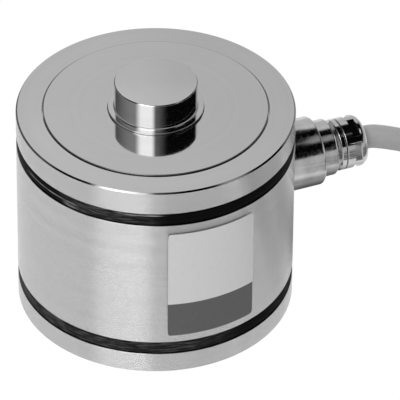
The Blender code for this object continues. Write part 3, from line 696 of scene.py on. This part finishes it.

# %% [markdown]
# ## Steel of the cable entry
# The entry is turned about its own axis, so its rings and grooves follow that axis. The grooves of
# its upper side lean more and more towards the outer end, as a slight taper does. This keeps the
# reflected patch of light at the outer end and lets it fade towards the can. The lower side
# spreads reflections more, its underside is darkened with painted shade, and the whole entry is
# stained unevenly.

# %% Entry steel
ENTRY_AXIS = (math.cos(ENTRY_ANGLE), math.sin(ENTRY_ANGLE), 0)
TAPER_FROM, TAPER_TO = 57 * MM, 68 * MM
UPPER_SPREAD, LOWER_SPREAD = 0.06, 0.25
boss_steel, tree, shader = turned_steel("entry_steel", 0.65, (0.09, 0.06), (0.09, 0.06),
                                        across=ENTRY_AXIS, swing=0.06)
station = split(tree, entry_place(tree))[2]
upward = split(tree, face_normal(tree))[2]
upper_side = ramp(tree, upward, 0.42, 0.62)
taper = times(tree, upper_side, ramp(tree, station, TAPER_FROM, TAPER_TO, 0, 0.1))
grooves = shader.inputs["Normal"].links[0].from_node
plug(tree, taper, grooves.inputs["Lean"])
plug(tree, calc(tree, "MULTIPLY_ADD", upper_side, UPPER_SPREAD - LOWER_SPREAD, LOWER_SPREAD),
     grooves.inputs["Spread"])
# Painted shade: downward faces get a darker colour, which stands in for the shade under the entry.
painted_underside_shade = ramp(tree, upward, -0.45, 0.12, 0.62, 0.0)
plug(tree, blend_colours(tree, painted_underside_shade, input_of(shader, "Base Color"), grey(0.05)),
     shader.inputs["Base Color"])
stain = ramp(tree, noise(tree, object_place(tree), 900.0, 3.0), 0.4, 0.65)
plug(tree, calc(tree, "MULTIPLY_ADD", stain, 0.14, 0.07), shader.inputs["Roughness"])
print("taper over (mm):", round((TAPER_TO - TAPER_FROM) / MM, 1))

# %% [markdown]
# ## Polished steel
# Disc and button are polished after turning, so they spread a reflection very little. The disc's
# rim is rounded, and a dark ring of painted shade in the colour stands in for the shade of the gap
# round the disc and gives it the thin line that the eye reads as the edge.

# %% Polished steel
polished, tree, shader = turned_steel("polished_steel", 0.65, (0.07, 0.01), (0.07, 0.01),
                                      swing=0.015)
from_middle = use_group(tree, TURNED, object_place(tree)).outputs["Radius"]
# Painted shade: a dark ring on the disc's rounded rim, for the shade in the gap round it.
painted_gap_shade = band(tree, from_middle, SEAM - 0.3 * MM, SEAM + MM, 0.08 * MM)
plug(tree, blend_colours(tree, times(tree, painted_gap_shade, 0.6), input_of(shader, "Base Color"),
                         grey(0.1)), shader.inputs["Base Color"])
print("dark line at radius (mm):", round(SEAM / MM, 2))

# %% [markdown]
# ## Nickel and rubber
# The gland is brass with a bright nickel coat, smoother than the steel and slightly cloudy. The
# bands are black rubber with pale dust on the side towards the camera. The dust lies in fine
# streaks along the band, and three places are paler still: a painted highlight in a line on the
# upper band on the left, a small heap of dust beside it, and a painted highlight along the upper
# band's top lip in the middle. Masks of angle and height place them, because they don't repeat.

# %% Nickel
nickel, tree, shader = new_material("nickel_plate", grey(0.62), 1.0, 0.1)
cloud = noise(tree, object_place(tree), 260.0, 3.0)
plug(tree, shift(tree, cloud, 0.1, 0.03), shader.inputs["Roughness"])
plug(tree, blend_colours(tree, cloud, grey(0.57), grey(0.67)), shader.inputs["Base Color"])
bump(tree, shader, noise(tree, object_place(tree), 900.0), 2e-6)
print("nodes of the nickel:", len(tree.nodes))

# %% Rubber
RUBBER = grey(0.003)
BETWEEN_BANDS = 40 * MM
# The first and the third mark are painted highlights, pale lines where light glints on the upper
# band; the second is a small heap of dust.
DUST_AND_HIGHLIGHT_MARKS = (
    ((-64, -34, 3), (75.2, 75.6, 0.15), 0.5),
    ((-40, -34, 2), (73.0, 75.4, 0.5), 0.25),
    ((-15, 2, 4), (77.1, 77.5, 0.15), 0.6),
)
rubber, tree, shader = new_material("black_rubber", RUBBER, 0.0, 0.5)
x, y, z = split(tree, object_place(tree))
round_about = heading(tree, x, y)
upper = calc(tree, "GREATER_THAN", z, BETWEEN_BANDS)
lower = calc(tree, "SUBTRACT", 1.0, upper)
dusty = calc(tree, "ADD", times(tree, band(tree, round_about, -38, -2, 9), upper),
             times(tree, band(tree, round_about, -100, 28, 15), lower))
grain = ramp(tree, noise(tree, stretched_place(tree, (0.1, 0.1, 1.0)), 1900.0, 5.0), 0.42, 0.66)
veil = times(tree, calc(tree, "MULTIPLY_ADD", grain, 0.09, 0.02), dusty)
dust_and_highlight_cover = calc(tree, "MULTIPLY_ADD", grain, 0.8, 0.3)
# Paint the marks: dust, and painted highlights for the first and the third.
for (left, right, side_soft), (low, high, soft), share in DUST_AND_HIGHLIGHT_MARKS:
    mark = times(tree, band(tree, round_about, left, right, side_soft),
                 band(tree, z, low * MM, high * MM, soft * MM), share)
    veil = calc(tree, "MULTIPLY_ADD", mark, dust_and_highlight_cover, veil)
plug(tree, blend_colours(tree, veil, RUBBER, grey(0.5)), shader.inputs["Base Color"])
plug(tree, calc(tree, "MULTIPLY_ADD", grain, 0.2, 0.45), shader.inputs["Roughness"])
shader.inputs["Specular IOR Level"].default_value = 0.02
bump(tree, shader, grain, 15e-6)
print("dusty marks on the rubber:", len(DUST_AND_HIGHLIGHT_MARKS))

# %% [markdown]
# ## Plastics, lacquer and wire
# The sheath is grey plastic with a fine matt grain. Ties, claw, cores, board and resistors are
# plastics and lacquers of the same kind, with their own colour and grain, so one function makes
# them all.

# %% Cable sheath
sheath, tree, shader = new_material("cable_sheath", grey(0.4), 0.0, 0.42)
cloud = noise(tree, object_place(tree), 420.0, 4.0)
plug(tree, blend_colours(tree, cloud, grey(0.37), grey(0.43)), shader.inputs["Base Color"])
plug(tree, shift(tree, cloud, 0.42, 0.08), shader.inputs["Roughness"])
bump(tree, shader, noise(tree, object_place(tree), 1400.0, 3.0), 12e-6)
print("nodes of the sheath:", len(tree.nodes))


# %% Moulded and lacquered parts
def moulded(name, colour, roughness, grain=1500.0, depth=6e-6):
    """Plastic with a fine grain and slightly uneven tone."""
    made, tree, shader = new_material(name, colour, 0.0, roughness)
    cloud = noise(tree, object_place(tree), 300.0, 3.0)
    darker = tuple(c * 0.85 for c in colour[:3]) + (1.0,)
    lighter = tuple(min(1.0, c * 1.15) for c in colour[:3]) + (1.0,)
    plug(tree, blend_colours(tree, cloud, darker, lighter), shader.inputs["Base Color"])
    plug(tree, shift(tree, cloud, roughness, 0.06), shader.inputs["Roughness"])
    bump(tree, shader, noise(tree, object_place(tree), grain, 2.0), depth)
    return made


tie_plastic = moulded("tie_nylon", grey(0.02), 0.4)
claw_plastic = moulded("claw_nylon", grey(0.03), 0.45)
shrink_plastic = moulded("shrink_sleeve", grey(0.018), 0.5)
board_green = moulded("board_lacquer", (0.02, 0.14, 0.06, 1.0), 0.3, 4000.0, 3e-6)
resistor_body = moulded("resistor_body", grey(0.03), 0.35)
core_materials = {
    "core_1": moulded("core_red", (0.45, 0.03, 0.02, 1.0), 0.4),
    "core_2": moulded("core_black", grey(0.02), 0.4),
    "core_3": moulded("core_green", (0.02, 0.22, 0.06, 1.0), 0.4),
    "core_4": moulded("core_white", (0.707, 0.7, 0.693, 1.0), 0.4),
    "shield": moulded("shield_wire", grey(0.34), 0.45),
}
print("insulation colours:", len(core_materials))

# %% Tinned copper
tinned, tree, shader = new_material("tinned_copper", grey(0.6), 1.0, 0.25)
plug(tree, shift(tree, noise(tree, object_place(tree), 700.0), 0.27, 0.08),
     shader.inputs["Roughness"])
print("nodes of the tinned copper:", len(tree.nodes))

# %% [markdown]
# ## Gauge foil
# A ring-shaped gauge is a film with a metal track that runs round and round. The distance from the
# middle folds to and fro with the track's pitch, and a limit on it splits the film into metal and
# gaps, so no line has to be modelled.

# %% Gauge foil
TRACK_HALF_PITCH = 0.35 * MM
TRACK_FROM = 0.2 * MM
foil, tree, shader = new_material("gauge_foil", (0.55, 0.38, 0.14, 1.0), 0.3, 0.35)
from_middle = use_group(tree, TURNED, object_place(tree)).outputs["Radius"]
folded = calc(tree, "PINGPONG", from_middle, TRACK_HALF_PITCH)
track = calc(tree, "GREATER_THAN", folded, TRACK_FROM)
plug(tree, blend_colours(tree, track, (0.5, 0.3, 0.08, 1), (0.6, 0.5, 0.33, 1)),
     shader.inputs["Base Color"])
plug(tree, times(tree, track, 0.8), shader.inputs["Metallic"])
plug(tree, calc(tree, "MULTIPLY_ADD", track, -0.15, 0.5), shader.inputs["Roughness"])
print("track pitch (mm):", round(2 * TRACK_HALF_PITCH / MM, 2))

# %% [markdown]
# ## The label
# A foil plate is bent round the wall. Its upper part is light and blank, and its lower third is a
# dark printed band. Both are one thin sheet, so the print is a matter of height in the material.

# %% Label material
LABEL_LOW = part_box("label")[0][2]
LABEL_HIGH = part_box("label")[1][2]
BAND_HIGH = 34.1 * MM
PRINT_EDGE = 0.06 * MM
label_foil, tree, shader = new_material("label_foil", grey(0.6), 0.25, 0.42)
height = split(tree, object_place(tree))[2]
printed = ramp(tree, height, BAND_HIGH - PRINT_EDGE, BAND_HIGH + PRINT_EDGE, 1.0, 0.0)
cloud = noise(tree, object_place(tree), 500.0, 4.0)
foil_tone = blend_colours(tree, cloud, grey(0.55), grey(0.6))
ink_tone = blend_colours(tree, cloud, grey(0.065), grey(0.085))
plug(tree, blend_colours(tree, printed, foil_tone, ink_tone), shader.inputs["Base Color"])
plug(tree, calc(tree, "MULTIPLY_ADD", printed, -0.25, 0.25), shader.inputs["Metallic"])
plug(tree, calc(tree, "MULTIPLY_ADD", printed, 0.1, 0.42), shader.inputs["Roughness"])
bump(tree, shader, noise(tree, object_place(tree), 1800.0), 4e-6)
print("height of the printed band (mm):", round((BAND_HIGH - LABEL_LOW) / MM, 1))


# %% [markdown]
# ## Turned pieces
# Each round piece starts as half of its cross-section: a few points in a plane, whose corners are
# rounded by a vertex bevel. A spin about the axis then makes the solid. A cylinder with bevelled
# edges would do for a plain pin, but a profile holds every step of a turned piece at once. Real
# edges are never perfectly sharp, and the small roundings catch the thin highlights that they have.

# %% Lathe
def lathe(points, steps=192, segments=4):
    """Spin a closed profile of (radius, height) or (radius, height, rounding) about Z."""
    bm = bmesh.new()
    verts = [bm.verts.new((p[0], 0.0, p[1])) for p in points]
    for first, second in zip(verts, verts[1:] + verts[:1]):
        bm.edges.new((first, second))
    for vert, point in zip(verts, points):
        if len(point) > 2:
            bmesh.ops.bevel(bm, geom=[vert], offset=point[2], segments=segments, profile=0.5,
                            affect="VERTICES", material=-1)
    bmesh.ops.spin(bm, geom=bm.verts[:] + bm.edges[:], cent=(0, 0, 0), axis=(0, 0, 1),
                   dvec=(0, 0, 0), angle=2 * math.pi, steps=steps, use_merge=True,
                   use_duplicate=False)
    bmesh.ops.remove_doubles(bm, verts=bm.verts, dist=1e-7)
    bmesh.ops.recalc_face_normals(bm, faces=bm.faces)
    return bm


def entry_lathe(points, steps=128, segments=4):
    """The same on the cable entry's axis, where a height is a station."""
    bm = lathe(points, steps, segments)
    bm.transform(ENTRY)
    return bm


# %% Finishing and cutting a piece
def make_object(name, bm, sharp=32):
    mesh = bpy.data.meshes.new(name)
    bm.to_mesh(mesh)
    bm.free()
    mesh.shade_smooth()
    mesh.set_sharp_from_angle(angle=math.radians(sharp))
    obj = bpy.data.objects.new(name, mesh)
    scene.collection.objects.link(obj)
    return obj


def piece(name, bm, material, replaced, sharp=32):
    """A finished piece: on its body, with its finish, in place of the plain solid."""
    obj = make_object(name, bm, sharp)
    weighted = obj.modifiers.new("even_normals", "WEIGHTED_NORMAL")
    weighted.keep_sharp = True
    weighted.weight = 80
    obj.data.materials.append(material)
    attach(obj, "root")
    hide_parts(replaced)
    print(name, "faces:", len(obj.data.polygons))
    return obj


def carve(blank_bm, cutter_bms):
    """Cut forms out of a blank with exact Booleans."""
    blank = make_object("blank", blank_bm)
    cutters = [make_object("cutter", bm) for bm in cutter_bms]
    for cutter in cutters:
        cut = blank.modifiers.new("cut", "BOOLEAN")
        cut.operation = "DIFFERENCE"
        cut.solver = "EXACT"
        cut.object = cutter
    graph = bpy.context.evaluated_depsgraph_get()
    carved = bpy.data.meshes.new_from_object(blank.evaluated_get(graph))
    for used in [blank] + cutters:
        bpy.data.objects.remove(used)
    bm = bmesh.new()
    bm.from_mesh(carved)
    bpy.data.meshes.remove(carved)
    return bm


# %% [markdown]
# ## The can
# Base, sleeve and head ring are three rings of the same diameter, and the two rubber bands sit in
# the gaps between them, a hair below the steel. The head ring slopes down a little to its rim. The
# polished disc lies in it and stands 0.6 mm proud, and the thin gap round the disc is the dark
# circle on top.

# %% Base
BASE_CHAMFER = 0.35 * MM
BASE_WELL = 40.5 * MM
BASE_FLOOR = 8 * MM
piece("base", lathe([
    (0, 0), (BODY - BASE_CHAMFER, 0, 0.1 * MM), (BODY, BASE_CHAMFER, 0.1 * MM),
    (BODY, BASE_HIGH, 0.25 * MM), (SPIGOT, BASE_HIGH), (SPIGOT, SEAT), (BASE_WELL, SEAT),
    (BASE_WELL, BASE_FLOOR), (0, BASE_FLOOR)]), wall_steel, "base_plate")

# %% Sleeve with its port
PORT = 10.85 * MM
PORT_LOW, PORT_HIGH = SLEEVE_INNER - 4 * MM, BODY + 4 * MM
sleeve_blank = lathe([
    (SLEEVE_INNER, SLEEVE_LOW), (BODY, SLEEVE_LOW, 0.3 * MM), (BODY, SLEEVE_HIGH, 0.3 * MM),
    (SLEEVE_INNER, SLEEVE_HIGH)])
port_drill = entry_lathe([(0, PORT_LOW), (PORT, PORT_LOW), (PORT, PORT_HIGH), (0, PORT_HIGH)], 96)
piece("can_sleeve", carve(sleeve_blank, [port_drill]), wall_steel, "sleeve")

# %% Head ring
RIM = SEAM + 0.45 * MM
LEDGE = TOP - 3.3 * MM
LEDGE_INNER = RIM - 2.8 * MM
LEDGE_LOW = LEDGE - 3.5 * MM
SPIGOT_INNER = SPIGOT - 4.5 * MM
SPIGOT_LOW = SLEEVE_HIGH - 6.5 * MM
piece("can_head", lathe([
    (RIM, HEAD_TOP, 0.08 * MM), (RIM, LEDGE), (LEDGE_INNER, LEDGE), (LEDGE_INNER, LEDGE_LOW),
    (SPIGOT_INNER, LEDGE_LOW), (SPIGOT_INNER, SPIGOT_LOW), (SPIGOT, SPIGOT_LOW),
    (SPIGOT, HEAD_LOW), (BODY, HEAD_LOW, 0.25 * MM), (BODY, HEAD_TOP - 0.8 * MM, 0.04 * MM),
    (BODY - 0.68 * MM, HEAD_TOP - 0.28 * MM, 0.04 * MM)]), head_steel, "head_ring")


# %% Rubber bands
def seal(name, low, high, node):
    """A round-lipped band with the thin ridge that its mould leaves."""
    inner, outer = SPIGOT + 0.3 * MM, BODY - 0.2 * MM
    lip = 1.1 * MM
    ridge, ridge_half = low + 0.42 * (high - low), 0.3 * MM
    bm = lathe([(inner, low), (outer, low, lip), (outer, ridge - ridge_half),
                (outer + 0.12 * MM, ridge, 0.1 * MM), (outer, ridge + ridge_half),
                (outer, high, lip), (inner, high)])
    piece(name, bm, rubber, node)


seal("lower_band", BASE_HIGH + 0.1 * MM, SLEEVE_LOW - 0.1 * MM, "lower_seal")
seal("upper_band", SLEEVE_HIGH + 0.1 * MM, HEAD_LOW - 0.1 * MM, "upper_seal")

# %% [markdown]
# ## Disc and button
# The disc is thin, so that it doesn't carry load, and thick only at its two rims. The button is
# ground bright. A low step makes its foot, a small fillet joins them, and its top is very slightly
# crowned so that the load meets it in the middle.

# %% Disc
WEB = TOP - 1.2 * MM
DISC_LOW = TOP - 3.0 * MM
DISC_INNER = FOOT + 0.15 * MM
DISC_RIM = 3.5 * MM
piece("polished_disc", lathe([
    (DISC_INNER, TOP, 0.05 * MM), (DISC_INNER, DISC_LOW), (DISC_INNER + DISC_RIM, DISC_LOW),
    (DISC_INNER + DISC_RIM, WEB), (SEAM - DISC_RIM, WEB), (SEAM - DISC_RIM, DISC_LOW),
    (SEAM, DISC_LOW), (SEAM, TOP, 0.25 * MM)]), polished, "top_diaphragm")

# %% Button
BUTTON = 16.4 * MM
HUB = 12.7 * MM
HUB_HIGH = BUTTON_LOW + 8.0 * MM
FOOT_TOP = TOP + 1.0 * MM
CROWN = 0.28 * MM
button_points = [(0, BUTTON_LOW), (HUB, BUTTON_LOW), (HUB, HUB_HIGH), (FOOT, HUB_HIGH),
                 (FOOT, FOOT_TOP, 0.2 * MM), (BUTTON, FOOT_TOP + 0.03 * MM, 0.55 * MM),
                 (BUTTON, BUTTON_TOP - 0.6 * MM, 0.04 * MM),
                 (BUTTON - 0.38 * MM, BUTTON_TOP - 0.3 * MM, 0.04 * MM)]
button_points += [(BUTTON * part, BUTTON_TOP - CROWN * part ** 2)
                  for part in (0.85, 0.6, 0.3, 0.0)]
piece("button", lathe(button_points, segments=10), polished, "load_button")

# %% [markdown]
# ## Cable entry
# The entry is turned in two steps and welded to the wall. It is made upright along Z and laid down
# by one matrix, which also turns it to its direction. A cylinder of the can's size then copes it,
# so its end follows the round wall.

# %% Cable boss
BOSS_LOW = SLEEVE_INNER - 2 * MM
COPE, COPE_LOW, COPE_HIGH = BODY + 0.1 * MM, 20 * MM, 80 * MM
boss_blank = entry_lathe([
    (ENTRY_BORE, BOSS_LOW), (BOSS, BOSS_LOW), (BOSS, BOSS_END, 1.1 * MM),
    (BOSS_STEP, BOSS_END, 0.15 * MM), (BOSS_STEP, STEP_END, 0.9 * MM),
    (ENTRY_BORE, STEP_END)], 128, 5)
cope = lathe([(0, COPE_LOW), (COPE, COPE_LOW), (COPE, COPE_HIGH), (0, COPE_HIGH)])
piece("cable_entry", carve(boss_blank, [cope]), boss_steel, "cable_boss")

# %% [markdown]
# ## Cable gland
# The gland is turned brass with a nickel coat. Its flange is round with a bevel. The nut over it
# has a round collar, six flats for a wrench, and a dome that closes on the cable. The flats are
# milled out of the round, so each one ends in a small arc where it meets the collar and the dome.

# %% Flange
NECK = 7.8 * MM
NECK_LOW = STEP_END - 9.5 * MM
NECK_HIGH = FLANGE_HIGH + 5.5 * MM
CUP = 7.0 * MM
SHOULDER = STEP_END + 0.5 * MM
BEVEL = 1.5 * MM
piece("gland_flange", entry_lathe([
    (ENTRY_BORE, NECK_LOW), (NECK, NECK_LOW), (NECK, SHOULDER),
    (GLAND - BEVEL, SHOULDER, 0.1 * MM), (GLAND, SHOULDER + BEVEL, 0.1 * MM),
    (GLAND, FLANGE_HIGH, 0.25 * MM), (NECK, FLANGE_HIGH), (NECK, NECK_HIGH),
    (CUP, NECK_HIGH), (CUP, FLANGE_LOW), (ENTRY_BORE, FLANGE_LOW)], 128, 6),
    nickel, "gland_body", 25)

# %% Dome nut with wrench flats
WRENCH_TURN = math.radians(20)
FLAT_REACH = 9.7 * MM
BLOCK_DEEP, BLOCK_WIDE = 6 * MM, 22 * MM


def flats(low, high):
    """Six blocks that cut the wrench flats between two stations."""
    blocks = []
    for side in range(6):
        bm = bmesh.new()
        bmesh.ops.create_cube(bm, size=1.0, matrix=Matrix.Diagonal(
            (BLOCK_DEEP, BLOCK_WIDE, high - low, 1.0)))
        turn = math.pi + WRENCH_TURN + side * math.pi / 3
        bm.transform(ENTRY @ Matrix.Rotation(turn, 4, "Z") @ Matrix.Translation(
            (FLAT_REACH + BLOCK_DEEP / 2, 0, (low + high) / 2)))
        blocks.append(bm)
    return blocks


nut_blank = entry_lathe([
    (NUT_BORE, NUT_LOW), (GLAND, NUT_LOW, 0.3 * MM), (GLAND, NUT_HIGH, 3.2 * MM),
    (ENTRY_BORE, NUT_HIGH, 0.3 * MM), (ENTRY_BORE, NUT_HIGH - 1.6 * MM),
    (NUT_BORE, NUT_HIGH - 4.6 * MM)], 128, 10)
piece("dome_nut", carve(nut_blank, flats(NUT_COLLAR, NUT_DOME)), nickel,
      "gland_nut", 25)

# %% Washer under the flange
WASHER = 9.0 * MM
WASHER_LOW, WASHER_HIGH = STEP_END + 0.05 * MM, STEP_END + 0.45 * MM
piece("gland_washer", entry_lathe([
    (NUT_BORE, WASHER_LOW), (WASHER, WASHER_LOW, 0.1 * MM), (WASHER, WASHER_HIGH, 0.1 * MM),
    (NUT_BORE, WASHER_HIGH)], 96, 3), rubber, "gland_gasket")

# %% [markdown]
# ## Label plate
# The plate is thin foil that is cut with round corners and stuck on the wall. A narrow rectangle,
# spun part of a turn about the can's axis, gives the bent sheet. The four short edges at its
# corners are then bevelled.

# %% Label sheet
LABEL_START = math.radians(5.15)
LABEL_TURN = math.radians(43.3 - 5.15)
LABEL_RADIUS = BODY + 0.3 * MM
LABEL_THICK = 0.3 * MM
LABEL_CORNER = 2 * MM
label_bm = bmesh.new()
label_bm.faces.new([label_bm.verts.new((r, 0, h)) for r, h in (
    (LABEL_RADIUS, LABEL_LOW), (LABEL_RADIUS + LABEL_THICK, LABEL_LOW),
    (LABEL_RADIUS + LABEL_THICK, LABEL_HIGH), (LABEL_RADIUS, LABEL_HIGH))])
bmesh.ops.spin(label_bm, geom=label_bm.faces[:] + label_bm.edges[:] + label_bm.verts[:],
               cent=(0, 0, 0), axis=(0, 0, 1), dvec=(0, 0, 0), angle=LABEL_TURN, steps=40,
               use_merge=False, use_duplicate=False)
bmesh.ops.recalc_face_normals(label_bm, faces=label_bm.faces)


def at_an_end(edge):
    """True for the short edges at the sheet's two ends."""
    turn = math.atan2(edge.verts[0].co.y, edge.verts[0].co.x)
    short = edge.calc_length() < LABEL_THICK + 0.01 * MM
    return short and min(abs(turn), abs(turn - LABEL_TURN)) < 0.001


corners = [e for e in label_bm.edges if at_an_end(e)]
bmesh.ops.bevel(label_bm, geom=corners, offset=LABEL_CORNER, segments=8, profile=0.5,
                affect="EDGES", material=-1)
label_bm.transform(Matrix.Rotation(LABEL_START - math.pi / 2, 4, "Z"))
piece("name_plate", label_bm, label_foil, "label", 45)
print("label corners rounded:", len(corners))

# %% [markdown]
# ## Cable ties
# Two nylon ties hold the wound cable. A tie is a thin band with rounded turns, drawn tight through
# its head. A rectangle with rounded corners is extruded to the band's width and gets a wall, and a
# small bevelled block makes the head.

# %% Ties
TIE_ROOM = CABLE + 0.3 * MM
TIE_INNER, TIE_OUTER = INNER_TRACK - TIE_ROOM, OUTER_TRACK + TIE_ROOM
TIE_LOW, TIE_HIGH = LAYER_LOW - TIE_ROOM, TAIL_HEIGHT + TIE_ROOM
TIE_WIDE = 4.8 * MM
TIE_THICK = 0.7 * MM
HEAD_SIZE = (6 * MM, 6.8 * MM, 4.5 * MM, 1)


def tie(number, degrees):
    bm = bmesh.new()
    turns = [bm.verts.new((r, -TIE_WIDE / 2, h)) for r, h in (
        (TIE_INNER, TIE_LOW), (TIE_OUTER, TIE_LOW), (TIE_OUTER, TIE_HIGH), (TIE_INNER, TIE_HIGH))]
    for first, second in zip(turns, turns[1:] + turns[:1]):
        bm.edges.new((first, second))
    bmesh.ops.bevel(bm, geom=bm.verts[:], offset=4 * MM, segments=6, profile=0.5,
                    affect="VERTICES", material=-1)
    made = bmesh.ops.extrude_edge_only(bm, edges=bm.edges[:])
    bmesh.ops.translate(bm, vec=(0, TIE_WIDE, 0),
                        verts=[v for v in made["geom"] if isinstance(v, bmesh.types.BMVert)])
    bmesh.ops.recalc_face_normals(bm, faces=bm.faces)
    bmesh.ops.solidify(bm, geom=bm.faces[:], thickness=TIE_THICK)
    head = bmesh.ops.create_cube(bm, size=1.0, matrix=Matrix.Translation(
        (TIE_OUTER + 3.0 * MM, 0, TIE_HIGH - 5 * MM)) @ Matrix.Diagonal(HEAD_SIZE))
    edges = list({e for v in head["verts"] for e in v.link_edges})
    bmesh.ops.bevel(bm, geom=edges, offset=0.5 * MM, segments=2, profile=0.5, affect="EDGES",
                    material=-1)
    bm.transform(Matrix.Translation(COIL_CENTRE) @ Matrix.Rotation(math.radians(degrees), 4, "Z"))
    piece(f"tie_{number}", bm, tie_plastic, f"cable_tie_{number}")


tie(1, -25)
tie(2, -140)

# %% [markdown]
# ## Materials for what stays
# The inner pieces keep their solids: measuring ring, gauges, board and wiring. They only need
# their finish, which goes into the material slot that each already has.

# %% Materials of the cable and its end
cable.data.materials.append(sheath)
end_sleeve.data.materials.append(shrink_plastic)
for name, lead in leads.items():
    lead.data.materials.append(core_materials[name])
for ferrule in ferrules:
    ferrule.data.materials.append(tinned)
print("curves with a finish:", 2 + len(leads) + len(ferrules))

# %% Materials of the inner pieces
kept = {"torsion_ring": spring, "terminal_board": board_green, "gland_seal": rubber,
        "gland_claw": claw_plastic, "cable_inlet": sheath}
for side in ("top_inner", "top_outer", "bottom_inner", "bottom_outer"):
    kept[f"gauge_{side}"] = foil
for number in range(1, 5):
    kept[f"gauge_lead_{number}"] = core_materials["core_4"]
    kept[f"signal_core_{number}"] = core_materials[f"core_{number}"]
    kept[f"trim_resistor_{number}"] = resistor_body
for number in range(1, 4):
    kept[f"board_spacer_{number}"] = tinned
    kept[f"board_screw_{number}"] = tinned
for name, material in kept.items():
    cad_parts[name].material_slots[0].material = material
print("inner pieces with a new finish:", len(kept))

# %% Update the scene
bpy.context.view_layer.update()
